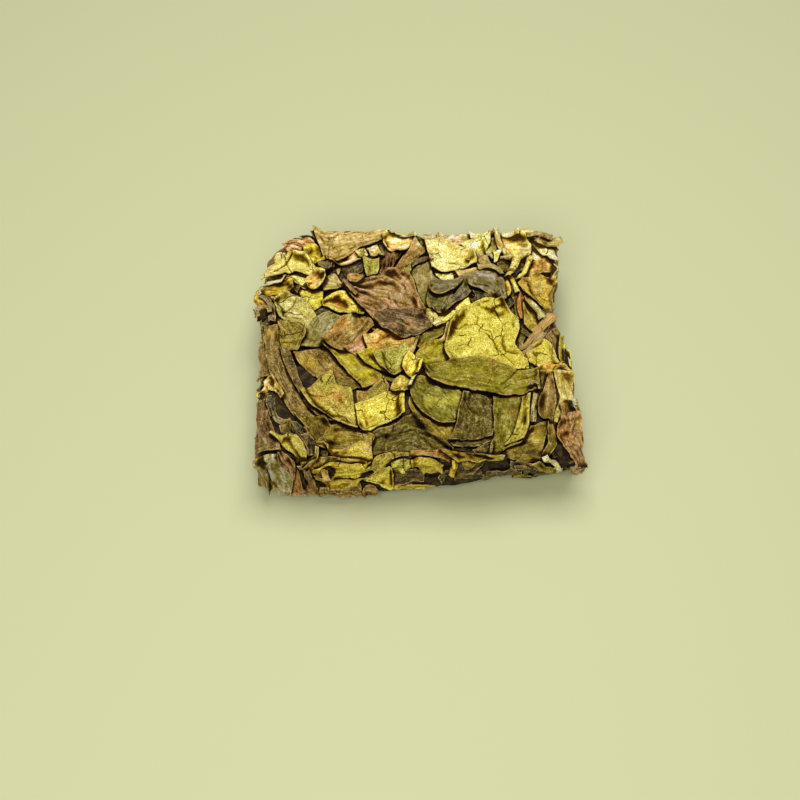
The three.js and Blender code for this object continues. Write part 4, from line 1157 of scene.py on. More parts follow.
FRONT_RIGHT = [
    Leaf("olive", [(17, -10.2), (16.9, -13), (16.4, -17.2)], [(19, -10.6), (17.9, -13), (17.1, -17)],
        light=1.18, wrinkles=0.15),
    Leaf("olive", [(-1.1, -10.2), (-1.4, -13), (0, -15.2), (2, -17.7), (4.6, -20.2)],
        [(3, -9), (4.4, -12), (5, -14), (5.6, -17), (6, -19.6)], light=1.38, edges=(0.2, 0)),
    Leaf("green", [(-0.9, -7.8), (-1, -10.8), (0, -13.1), (1.5, -14.9), (3.5, -15.8), (5.6, -15.9)],
        [(0.4, -6.8), (2.2, -7.6), (5.6, -9), (6.9, -10.6), (6.6, -12.6), (6, -15.2)], light=0.56,
        lift=0.15, edges=(0.3, 0.1), crumple=0.1,
        spots=((3.6, -11.6, 1.5, "yellow", 0.45), (5.4, -11.4, 1.2, "yellow", 0.45),
            (1.8, -11.8, 1.1, "yellow", 0.4), (3, -8.6, 1.5, "olive", 0.4))),
    Leaf("olive", [(8, -20.7), (9.6, -20.1), (11.2, -19.4)], [(8.4, -21.2), (9.8, -21.3), (11, -21.1)],
        light=0.13),
    Leaf("olive", [(4.4, -19), (7, -18.8), (9, -18.5), (11.2, -17.9)],
        [(5, -20.1), (7, -20.4), (9, -20), (11.2, -18.9)], light=0.41, edges=(0, 0.15)),
    Leaf("olive", [(7, -10.1), (6.3, -13), (5.5, -17), (4.5, -19.5)],
        [(9, -10), (10.7, -11.5), (11.5, -13), (11.5, -17), (11.1, -18.6)], lift=0.15,
        edges=(0.25, 0.25), ends=(0, 0.25), wrinkles=0.07, spacing=1.2, midrib=0.9, light=0.46,
        creases=((0.12, 0.18, [(10.2, -14), (8.8, -17.4), (7.6, -19.6)]),
            (0.1, 0.15, [(9.4, -16.4), (8, -18)]))),
    Leaf("olive", [(15.8, -18), (18, -16.3), (19.8, -15.8)],
        [(12.3, -21.3), (15.5, -22.4), (18.2, -22.3)], light=0.94, wrinkles=0.12, spacing=1.2,
        edges=(0.2, 0.2), spots=((17.6, -18, 1.8, "gold", 0.4),)),
    Leaf("olive", [(19.5, -16.1), (19.6, -18), (19.2, -20.2), (18.5, -21)],
        [(20.3, -16.3), (20.8, -18.2), (20.8, -19.8), (19.6, -21.3), (18.7, -22.2)], light=0.9, arch=0.1),
    Leaf("green", [(11.6, -10.6), (11.5, -14), (11.4, -18), (10.5, -21.4)],
        [(17.2, -10.7), (16.8, -14), (16.5, -17.5), (15.9, -19.2), (13.5, -20.3), (12, -21.2)],
        edges=(0.2, 0.2), crumple=0.08, light=0.52,
        spots=((14.4, -13.6, 1.5, "brown", 0.5), (12.6, -18, 1.5, "olive", 0.4))),
    Leaf("yellow", [(16.1, -11), (15.2, -14.5), (14.2, -18), (12.8, -20.2)],
        [(17.2, -11), (16.9, -14), (16.5, -17.4), (15.8, -19.1)], lift=0.1, light=0.82,
        edges=(0.05, 0.2)),
    Leaf("bark", [(18.4, -5.4), (20.2, -5.5), (21.8, -6.1), (22.7, -6.6)],
        [(19, -6.6), (20.3, -6.9), (21.6, -7), (22.5, -7.1)], light=3.98, lift=0.3, crumple=0.12,
        wrinkles=0.12, torn=0.15),
    Leaf("straw", [(18.7, -6.4), (18, -9.4), (17.3, -13), (17, -16)],
        [(20, -6.9), (19, -9.9), (18.2, -13), (17.9, -15.8)], light=0.57, wrinkles=0.15, lift=0.15),
    Leaf("bark", [(20.2, -6.9), (19.2, -10), (18.3, -13.4), (18.8, -15), (19.8, -16.2)],
        [(20.8, -7.2), (21.2, -10), (21, -12.8), (20.5, -15), (20.2, -16.2)], lift=0.25,
        edges=(0.35, 0.2), crumple=0.1, wrinkles=0.08, torn=0.12, light=1.17,
        spots=((19.4, -14.2, 1.8, "olive", 0.8), (20.4, -9.4, 1.3, "straw", 0.4))),
    Leaf("straw", [(20.9, -6.9), (21.5, -9.4), (21.8, -11), (21.2, -13), (20.7, -14.6), (20.6, -16)],
        [(22.8, -6.9), (23.6, -9.2), (24, -10.8), (22.7, -12.8), (22.1, -14.4), (21.4, -16)], lift=0.25,
        edges=(0.25, 0.1), crumple=0.08, wrinkles=0.06, stiff=40, torn=0.15, light=1.5,
        spots=((22.4, -8.6, 2.4, "straw", 0.5), (21.6, -14, 1.5, "olive", 0.5))),
    Leaf("bark", [(21.6, -12.6), (21.8, -14), (21.4, -16)], [(24, -12.4), (24.2, -14.4), (23.8, -16)],
        light=1.63, crumple=0.3),
    Leaf("cream", [(22.4, -11.8), (23.2, -11.5), (24.1, -11.7)],
        [(22.6, -13.2), (23.5, -13.6), (24.3, -13.3)], lift=0.3, crumple=0.6, torn=0.6, light=1.45,
        spots=((23.8, -13, 0.9, "peach", 0.7),)),
    Leaf("plum", [(21.9, -14.6), (21.3, -16.8), (20.9, -18.2), (21.8, -19.9), (23, -21.5), (24, -23)],
        [(24, -13.9), (24.5, -15.6), (24.7, -18), (25, -19.8), (25.8, -21.2), (26.4, -22.4)], lift=0.3,
        edges=(0.3, 0.2), ends=(0.2, 0.3), crumple=0.22, wrinkles=0.2, spacing=0.6, droop=0.7,
        torn=0.75, light=1.4, creases=((0.3, 0.2, [(23.2, -15), (23.4, -17.5), (24, -20.5)]),),
        spots=((22.4, -18, 2, "rust", 0.5), (24.1, -16.2, 1.2, "straw", 0.7),
            (24.3, -18.8, 1.1, "straw", 0.6))),
    Leaf("straw", [(23.8, -24.8), (25.6, -24.5), (27, -22.8)],
        [(23.4, -23.4), (24.9, -22.7), (26.4, -21.6)], lift=0.3, crumple=0.5, torn=0.9, droop=0.85,
        light=0.58),
]

FRONT_LEFT = [
    Leaf("olive", [(-18.9, -14.5), (-16.7, -17.5), (-15.2, -20.1)],
        [(-14.3, -15.4), (-12.8, -17), (-12.8, -19.2)], light=0.93),
    Leaf("gold", [(-9.5, -10.2), (-7.5, -9.5), (-6.3, -8.2), (-5.2, -7.4)],
        [(-9.2, -12.4), (-7.5, -11.8), (-5.4, -10.8), (-3.6, -9.6)], light=0.51,
        spots=((-6, -10.2, 1.8, "green", 0.8), (-8.8, -10.8, 1.4, "peach", 0.5))),
    Leaf("peach", [(-12, -11), (-11, -10.1), (-10.2, -10.2)],
        [(-11.4, -11.8), (-10.4, -11.6), (-9.9, -12)], lift=0.3, light=0.85, edges=(0.2, 0)),
    Leaf("olive", [(-7.4, -17.8), (-3.5, -15.9), (-0.8, -14.3), (2.2, -17.5), (5.2, -20.4)],
        [(-6.8, -22.2), (-3.5, -22), (0, -21.9), (3, -21.7), (5.8, -21.2)], lift=0.1, wrinkles=0.14,
        spacing=1.1, crumple=0.08, light=0.55,
        creases=((-0.45, 0.25, [(-6.8, -18.6), (-4, -17.8), (-1.2, -16.8)]),
            (0.14, 0.25, [(-5.4, -20.6), (-1.6, -19.2), (2.2, -18.3)]),
            (0.12, 0.25, [(-4.6, -21.4), (0, -20.4), (3.6, -20.4)]))),
    Leaf("plum", [(-24.9, -11.2), (-25.2, -13.8), (-25.2, -16), (-24.8, -18.8), (-24.6, -20.8)],
        [(-22.8, -11.8), (-22.8, -14.1), (-22, -16.6), (-21, -19), (-20.6, -20.6)], lift=0.35,
        edges=(0, 0.3), wrinkles=0.12, crumple=0.12, stiff=45, torn=0.12, light=0.64,
        spots=((-23.2, -19.8, 1.8, "olive", 0.5), (-23.8, -14.4, 1.6, "pink", 0.2))),
    Leaf("straw",
        [(-24.6, -10.9), (-24.2, -8.8), (-22.9, -7.2), (-21.8, -8.4), (-21, -9.8), (-20.5, -11.2)],
        [(-24.1, -10.9), (-23.9, -9.9), (-23, -9.4), (-22.3, -10), (-21.6, -10.6), (-21, -11.6)],
        lift=0.15, edges=(0.1, 0.2), torn=0.2, crumple=0.4, light=1.94,
        spots=((-24, -9.8, 1.2, "peach", 0.8), (-22.9, -8.4, 1, "cream", 0.6),
            (-21, -10.6, 1.2, "olive", 0.7))),
    Leaf("straw", [(-22.9, -11.2), (-22.9, -13.2), (-22.5, -14.8)],
        [(-21.9, -11.2), (-21.7, -13.2), (-21.6, -14.8)], arch=0.15, light=0.08, lift=0.1),
    Leaf("straw", [(-22.1, -14.4), (-21.9, -15.6), (-21.2, -16.2), (-19.9, -16.4), (-19.2, -15.4)],
        [(-21.5, -14.4), (-21.2, -15), (-20.6, -15.2), (-20, -15.2), (-19.5, -15)], lift=0.15,
        light=0.25, torn=0.1, spots=((-20, -15.6, 1, "gold", 0.6),)),
    Leaf("rust", [(-20, -15.9), (-18.6, -17.8), (-17.2, -20)],
        [(-18.4, -15.6), (-16.6, -17.8), (-15.4, -20)], light=0.02),
    Leaf("green", [(-21, -16.6), (-20.6, -18.4)], [(-19.2, -16.4), (-19.4, -18.8)], light=0.08),
    Leaf("olive", [(-14, -17.3), (-11.5, -16.2), (-9, -16.8), (-6.5, -18.6)],
        [(-15.4, -20.2), (-12.8, -21), (-10, -20.2), (-6.8, -19.9)], lift=0.12, light=1.25),
    Leaf("gold", [(-14.2, -20), (-12, -20.7), (-10, -19.6), (-7, -19.2)],
        [(-13.2, -21.4), (-10.5, -22.4), (-8.4, -22.9), (-6.8, -22.4)], light=0.94, lift=0.15,
        crumple=0.35, edges=(0.1, 0.35),
        spots=((-9.2, -20.6, 1.8, "yellow", 0.6), (-7.4, -20.6, 1.3, "straw", 0.6))),
    Leaf("yellow", [(-18, -10.3), (-16.3, -12.9), (-14.2, -14.7), (-11.6, -16.4), (-9.1, -17)],
        [(-15.4, -8), (-13.5, -6.2), (-12.4, -8.6), (-10.4, -9.9), (-9.8, -12.5), (-9, -16.1)],
        light=0.75, lift=0.22, edges=(0.35, 0.15), step=0.2, crumple=0.12,
        creases=((-0.16, 0.14, [(-13.2, -12.2), (-12, -13.9), (-10.8, -15.2), (-9.4, -16.6)]),
            (-0.12, 0.12, [(-13.6, -14), (-12.2, -13.9)]),
            (0.15, 0.2, [(-17, -11), (-14.5, -10.9), (-12.6, -10.4)]),
            (-0.12, 0.14, [(-17.2, -10.5), (-14.6, -10.4), (-12.8, -9.9)])),
        spots=((-14.2, -8.8, 2, "green", 0.7), (-12.1, -11.3, 1.2, "rust", 0.6),
            (-15.2, -10.9, 1.3, "peach", 0.5), (-13, -10.5, 1, "peach", 0.6))),
    Leaf("yellow", [(-9.6, -12.8), (-5, -10.3), (-2.1, -9.6)],
        [(-9.1, -16.7), (-8, -17.6), (-5, -16), (-2, -14.6)], light=1.47, lift=0.25, edges=(0.15, 0.35),
        ends=(0.15, 0.25), step=0.2, crumple=0.1, wrinkles=0.04,
        spots=((-6, -14.4, 2, "green", 0.18), (-4.6, -15.2, 1.4, "pale", 0.4))),
    Leaf("yellow", [(-4.2, -10), (-3.9, -8.5), (-2.7, -7.1)], [(-2, -10.6), (-1.3, -9.4), (-1.3, -7.9)],
        light=0.81, lift=0.3, bulge=0.25, step=0.2,
        creases=((-0.3, 0.18, [(-3.9, -9.9), (-3.2, -9.6), (-2.6, -9.5)]),)),
    Leaf("cream", [(0.8, -4.8), (0.6, -5.8), (-0.4, -7.6), (-1, -9.4)],
        [(0.3, -5), (0.1, -6.1), (-0.9, -7.9), (-1.5, -9.6)], lift=0.25, light=1.52, torn=0.08),
    Leaf("yellow", [(-1.4, -2.3), (-2.2, -4), (-2.4, -6)], [(0.9, -4.8), (0.3, -6.3), (-0.9, -7.5)],
        lift=0.35, light=1.44, torn=0.12,
        spots=((-1.9, -6, 1.1, "peach", 0.8), (-0.2, -4.6, 1.4, "pale", 0.7))),
    Leaf("yellow", [(-22.4, -18), (-20.7, -19.5), (-19.2, -20.9), (-17.5, -22.4)],
        [(-22.2, -17.7), (-20.2, -18.2), (-19, -17.9), (-17.8, -18.9), (-16.8, -20.6), (-16.7, -22)],
        lift=0.35, bulge=0.4, crumple=0.1, torn=0.1, light=0.63,
        creases=((0.25, 0.25, [(-19.2, -18.4), (-18.6, -20), (-17.4, -21.6)]),),
        spots=((-18.4, -20, 1.3, "pale", 0.4),)),
    Leaf("rust", [(-18.1, -18.2), (-16.8, -20.2), (-16.5, -21.6)],
        [(-16.4, -18.2), (-15.4, -20.2), (-15.3, -21.4)], light=0.06, edges=(0, 0.2), torn=0.1),
    Leaf("yellow", [(-17.6, -22), (-16.3, -21.9), (-15.5, -21.4), (-15.4, -20.6)],
        [(-17.5, -22.5), (-16.1, -22.4), (-15, -21.7), (-14.9, -20.6)], lift=0.45, light=0.4, torn=0.06),
]

FRONT_BAND = Leaf("green",
    [(1.1, -6.4), (2, -8), (3.5, -8.9), (6, -9.3), (9, -9.9), (12, -10.6), (15, -10.6), (17.5, -10.2),
        (18.9, -9.7)],
    [(1.3, -5.6), (3, -4.6), (5, -4.3), (7, -3.9), (9, -3.4), (11, -3.7), (13.5, -5), (15.7, -5.9),
        (18.6, -5.9)], lift=0.35, light=0.8, edges=(0.4, 0.1), arch=0.25, crumple=0.09, stiff=40,
    step=0.18, torn=0.12,
    creases=((-0.3, 0.2, [(12.8, -8.2), (14.2, -7.2), (15.8, -5.6)]),
        (0.12, 0.35, [(2, -6.6), (7, -7.4), (12, -8.8), (17, -8.8)])),
    spots=((11.5, -4.4, 1.4, "brown", 0.6), (14.5, -5.8, 1.2, "brown", 0.4), (9, -9.4, 1, "grey", 0.4),
        (14, -10, 1, "grey", 0.4), (17.6, -7.4, 1.5, "straw", 0.3), (2.4, -6.6, 1.3, "grey", 0.4)))

FRONT_EDGE_LEAVES = [
    Leaf("cream", [(17.1, -9.6), (17.4, -8.8), (18.3, -8.9), (18.8, -10.2)],
        [(17.5, -9.7), (17.8, -9.2), (18.2, -9.4), (18.4, -10.3)], lift=0.35, light=0.29, torn=0.05),
    # the dark hollows, sheets of painted shade, and the lowest layers
    Leaf("shadow", [(-4, -26.6), (0, -26.8), (5, -26.8), (9.8, -26.4)],
        [(-4, -28.6), (0, -28.8), (5, -29.2), (10, -29.8)], lift=0),
    Leaf("shadow", [(-15.5, -28), (-12, -28.2), (-6, -28.4)], [(-15.5, -30), (-12, -29.8), (-6, -29.8)],
        lift=0),
    Leaf("gold", [(-5.6, -28.2), (-2, -28.3), (2.6, -28.5)], [(-4.6, -29.3), (-2, -29.4), (1, -29.9)],
        lift=0.15, light=1.28, torn=0.1, spots=((2, -29, 1.6, "straw", 0.8),)),
    Leaf("brown", [(9.9, -25.4), (10, -28), (10.2, -31)], [(15.6, -24.8), (16, -28), (16.2, -31)],
        light=0.39, wrinkles=0.2),
    Leaf("rust", [(16.1, -25.4), (16.3, -31)], [(19.8, -25.6), (20, -31)], light=0.02, wrinkles=0.3),
    Leaf("brown", [(13.8, -22.2), (16, -22.6), (18.6, -23.2)],
        [(13.8, -24.6), (16, -25), (19.6, -25.4)], light=0.11, crumple=0.5, torn=0.7),
    Leaf("straw", [(14.4, -23.4), (16, -23.6), (17.4, -24.4)],
        [(14.6, -24.2), (16.2, -24.4), (17, -25.2)], light=0.04, crumple=0.4, torn=0.8),
    Leaf("green", [(17, -22.2), (18.6, -23.8), (19.6, -25.6), (20.2, -28), (20.3, -30.4)],
        [(18.3, -22), (19.6, -23.8), (20.7, -25.6), (21.2, -28), (21, -30.4)], light=1.04),
    Leaf("pale", [(18.4, -21.3), (19.8, -23.2), (20.9, -25.2), (21.3, -27.4), (20.9, -30.4)],
        [(19.3, -21), (20.8, -22.8), (21.9, -24.8), (22.1, -27.2), (21.7, -30.2)], lift=0.15, arch=0.2,
        edges=(0, 0), torn=0.1, light=2.67),
    Leaf("rust", [(5.4, -26.2), (8.4, -25), (10, -24.4)], [(6, -27.1), (8.6, -27.3), (9.9, -26.6)],
        light=0.08),
    Leaf("shadow", [(9.3, -23), (10.8, -21.7), (13.2, -21.4)],
        [(9.7, -24.8), (12, -24.2), (13.9, -23.8)], lift=0),
    Leaf("bark", [(5.4, -24.2), (6.4, -22.4), (8, -22.4), (9.9, -21.9)],
        [(5.6, -26.2), (6.8, -26), (8.4, -25), (9.6, -23.4)], light=0.2, wrinkles=0.2),
    Leaf("rust", [(-3.8, -24.2), (-1.5, -24.2), (1, -25)], [(-3.9, -27.9), (-1.5, -27.8), (1, -27.4)],
        light=0.14, crumple=0.4),
    Leaf("gold", [(3, -26.2), (4.2, -24.4), (5.4, -24.4)], [(3.6, -26.9), (4.6, -26.3), (5.6, -26)],
        edges=(0.4, 0.3), light=0.08),
    Leaf("brown", [(-15, -28.6), (-12, -28.8), (-8.5, -29)],
        [(-15.4, -30.2), (-12, -30.1), (-8, -30.3)], wrinkles=0.4, spacing=0.6, light=0.82),
    Leaf("brown", [(-15, -28), (-12, -28.2), (-8.6, -28.1)],
        [(-15, -28.7), (-12, -28.9), (-8.6, -28.8)], lift=0.3, light=0.25),
    Leaf("bark", [(-8.6, -29.3), (-7.9, -28.3), (-6.6, -28.3), (-6, -29.2)],
        [(-8.4, -29.7), (-7.8, -30.2), (-6.7, -30.3), (-6.1, -29.8)], lift=0.05, bulge=0.15,
        wrinkles=0.2, spacing=0.4, light=1.16),
    # the front's upper layers
    Leaf("gold", [(-17.6, -22.5), (-14.5, -21.7), (-11, -21.9), (-7.6, -22.1)],
        [(-16.6, -23.6), (-14, -23.3), (-11, -23.4), (-8, -23.1)], lift=0.1, light=0.6, wrinkles=0.12),
    Leaf("gold", [(-16.4, -24.1), (-15, -24), (-13.6, -24)],
        [(-15.9, -26.2), (-14.6, -26.8), (-13, -27)], light=0.93),
    Leaf("gold", [(-15.6, -23.2), (-12.5, -22.6), (-9.4, -22.4), (-7, -22.2), (-4.6, -22.2)],
        [(-14.4, -26.6), (-12, -27.4), (-9.6, -26.8), (-7.6, -25.4), (-4.9, -23)], lift=0.1,
        edges=(0, 0.1), crumple=0.12, light=1.39, spots=((-10, -25, 3, "yellow", 0.5),)),
    Leaf("gold", [(-16, -26), (-14.6, -26.9), (-12.6, -27), (-9, -27.1)],
        [(-15.6, -27.2), (-14, -28.1), (-12, -28.2), (-8.6, -28)], lift=0.12, edges=(0, 0.15),
        light=1.02),
    Leaf("peach", [(-14.6, -23.9), (-14.5, -25), (-14.3, -26.3)],
        [(-13.6, -24.2), (-13.5, -25.4), (-13.1, -26.5)], lift=0.08, light=1.28,
        spots=((-14, -25.8, 0.8, "cream", 0.8),)),
    Leaf("shadow", [(-13.9, -23.5), (-13.2, -24.6), (-12.9, -25.7)],
        [(-13.3, -23.5), (-12.9, -24.5), (-12.7, -25.6)], lift=0.05),
    Leaf("shadow", [(-8.6, -26.1), (-6, -24.2), (-4, -22.6), (-1, -21.4)],
        [(-8.2, -26.7), (-5.8, -24.8), (-3.9, -23.2), (-0.9, -21.8)], lift=0),
    Leaf("yellow", [(-9.4, -27), (-7.4, -25.7), (-5.8, -24.4), (-4.3, -22.9)],
        [(-7.6, -27.6), (-5.8, -28), (-4.3, -28.8), (-3.7, -25.2)], lift=0.15, light=1.12),
    Leaf("yellow", [(-4.1, -22.6), (-2.4, -21.9), (-0.8, -22)],
        [(-3.7, -23.7), (-2.2, -24.3), (-0.9, -23.3)], light=0.95, crumple=0.3),
    Leaf("gold", [(-1.1, -21.9), (0.6, -21.8), (2.6, -22.4), (3.8, -23.6)],
        [(-0.9, -22.9), (0.2, -24.4), (1.8, -25.4), (3.6, -25)], lift=0.12, bulge=0.4,
        edges=(0.1, 0.15), light=1.14),
    Leaf("gold", [(-7.2, -23), (-6.6, -21.9), (-5, -21.2), (-3, -21), (-1.2, -21.2)],
        [(-6.6, -23.8), (-5.6, -23.4), (-4.5, -22.5), (-3.6, -22), (-1.4, -21.5)], edges=(0.15, 0.05),
        light=0.65, torn=0.1),
    Leaf("peach", [(-1.2, -20.9), (2, -20.8), (4.8, -21.2), (5.8, -22)],
        [(-1.2, -21.5), (2, -21.6), (4.2, -22), (5.3, -23.2)], arch=0.2, light=0.81, torn=0.1),
    Leaf("gold", [(5, -21.9), (5, -23), (4.6, -24.4)], [(6, -22), (5.9, -23.2), (5.5, -24.6)], lift=0.3,
        arch=0.3, light=1.55, torn=0.1),
    Leaf("olive", [(5.9, -21.8), (6.5, -22.4), (7, -23.4)], [(9.6, -21.7), (8.5, -22.3), (7.6, -23.3)],
        edges=(0.3, 0.3), light=1.19),
    Leaf("olive", [(3, -20.9), (7, -21.1), (10, -21.2), (12.9, -21.2)],
        [(5.9, -22), (7.4, -22), (10, -21.9), (12.6, -21.5)], lift=0.35, light=1.63, torn=0.1),
    # the front left corner
    Leaf("plum", [(-18.2, -23), (-17.3, -25.8), (-17.6, -28.2), (-16.9, -30.2)],
        [(-16.8, -23.2), (-16, -26.2), (-15.6, -28), (-15.1, -29.6)], lift=0.15, edges=(0, 0.2),
        light=0.95, wrinkles=0.15, torn=0.15),
    Leaf("shadow", [(-18.4, -24.4), (-18.1, -26.5), (-17.6, -28.6)],
        [(-17.9, -24.4), (-17.5, -26.5), (-17, -28.4)], lift=0.05),
    Leaf("plum", [(-18.6, -23.6), (-19.1, -27), (-19.5, -30.6)],
        [(-18.2, -24), (-17.8, -27.2), (-17.1, -30)], light=1.42, arch=0.15, torn=0.12,
        spots=((-18.4, -28, 2.4, "rust", 0.6),)),
    Leaf("brown", [(-26, -21), (-27, -24), (-27.5, -27)], [(-23.8, -21.4), (-23.6, -25), (-23, -29)],
        light=0.93, wrinkles=0.3),
    Leaf("bark", [(-25.4, -21.4), (-27, -24), (-27, -27)], [(-23.8, -21.8), (-24, -25), (-23, -29)],
        light=1.16, wrinkles=0.3),
    Leaf("silver", [(-23.8, -21.4), (-24.4, -22.8), (-24.6, -25.2), (-23.6, -28), (-21.4, -30.4)],
        [(-20.9, -21.3), (-19.4, -22.4), (-18.8, -24), (-19, -27), (-19.6, -30.4)], lift=0.3,
        wrinkles=0.12, light=1.16, crumple=0.12, torn=0.15,
        creases=((0.2, 0.2, [(-22.9, -22.4), (-22.4, -25.5), (-21.2, -28.5)]),
            (-0.15, 0.15, [(-23.6, -23.4), (-22.8, -27), (-21.6, -29.4)])),
        spots=((-23.6, -27.6, 1.6, "bark", 0.5),)),
    Leaf("plum", [(-21.2, -21.1), (-20.9, -22.6), (-19.3, -24.6)],
        [(-20.3, -20.9), (-18.5, -22.8), (-18.6, -25)], light=1.02, wrinkles=0.3, spacing=0.5, torn=0.2),
]


# ---------------------------------------------------------------- leaves laid by chance


def random_leaf(rng, tone, centre, heading, length, width, **form):
    """A leaf about a centre: its edges bow out to either side of a slightly bent middle line,
    by the width times a half sine that leans towards one end, and its ends are blunt."""
    share = np.linspace(0, 1, 5)
    lean = rng.uniform(0.75, 1.35)
    swell = np.sin(np.pi * (0.08 + 0.84 * share**lean))
    bend = rng.normal(0, 0.08) * length * (share - 0.5) ** 2 * 4
    forward = (share - 0.5) * length
    turn = np.array([[math.cos(heading), math.sin(heading)], [-math.sin(heading), math.cos(heading)]])
    balance = rng.uniform(0.35, 0.65)
    edges = []
    for side in (balance, balance - 1):
        off = bend + side * width * swell * rng.uniform(0.88, 1.12, 5)
        edges.append([tuple(p) for p in np.stack([forward, off], axis=1) @ turn + np.array(centre)])
    return Leaf(tone, edges[0], edges[1], **form)


def grown(leaf, margin, step):
    """The hidden leaf below a leaf: flatter, larger by a margin all round, and darker, as painted shade in
    the gaps, so that a gap between two leaves shows more leaf and not the pressed mass."""
    share = np.linspace(0, 1, 6)
    left, right = curve(leaf.left, share), curve(leaf.right, share)
    across = right - left
    across /= np.maximum(np.linalg.norm(across, axis=1), 0.3)[:, None]
    along = np.gradient((left + right) / 2, axis=0)
    along /= np.maximum(np.linalg.norm(along, axis=1), 0.05)[:, None]
    push = along * (margin * (2 * share - 1) * (np.abs(2 * share - 1) > 0.9))[:, None]
    sides = (left - margin * across + push, right + margin * across + push)
    edges = [[tuple(p) for p in side] for side in sides]
    plain = {
        "lift": 0.05,
        "edges": (0.1, 0.1),
        "ends": (0.1, 0.1),
        "tilt": (0, 0),
        "arch": 0,
        "bulge": 0,
        "droop": 1,
        "creases": (),
    }
    # A fifth of the leaf's brightness: painted shade.
    return replace(leaf, left=edges[0], right=edges[1], light=0.2 * leaf.light, step=step, **plain)


def choose(rng, weights):
    """A tone drawn by weight."""
    names = list(weights)
    share = np.array([weights[n] for n in names], float)
    return names[rng.choice(len(names), p=share / share.sum())]


# How often each tone comes up among the leaves laid at random.
SIDE_TONES = {
    "gold": 2,
    "green": 3,
    "olive": 4,
    "bark": 3,
    "brown": 3,
    "yellow": 0.8,
    "plum": 3,
    "straw": 1,
    "dark": 1.5,
}
LINING_TONES = {"olive": 3, "dark": 3, "bark": 2, "brown": 2, "plum": 1}
UNDERSIDE_TONES = {
    "gold": 1,
    "green": 3,
    "olive": 4,
    "bark": 2,
    "brown": 3,
    "yellow": 2,
    "plum": 2,
    "dark": 2,
}
CRUMB_TONES = {"straw": 2, "cream": 1, "brown": 3, "gold": 2, "yellow": 2, "peach": 1}


# The named leaves cover the front: the walk round the block from this far before its start to
# this far after it, in millimetres.
FRONT_START, FRONT_END = 3, 48
# Where the layer edges begin on the walk, and how much of its whole length they leave out.
LEDGES_FROM, LEDGES_SHORT = 52, 58

# Steps round a circle, each of which spreads many things evenly along one way over a face. The
# two together fall into bands, which leaves parts of the underside with no leaf on them.
FIRST_STEP, SECOND_STEP = 0.618034, 0.754878


def spread(k, step=FIRST_STEP, first=0):
    """The place of the k-th of many evenly spread things, from 0 to 1."""
    return (k * step + first) % 1


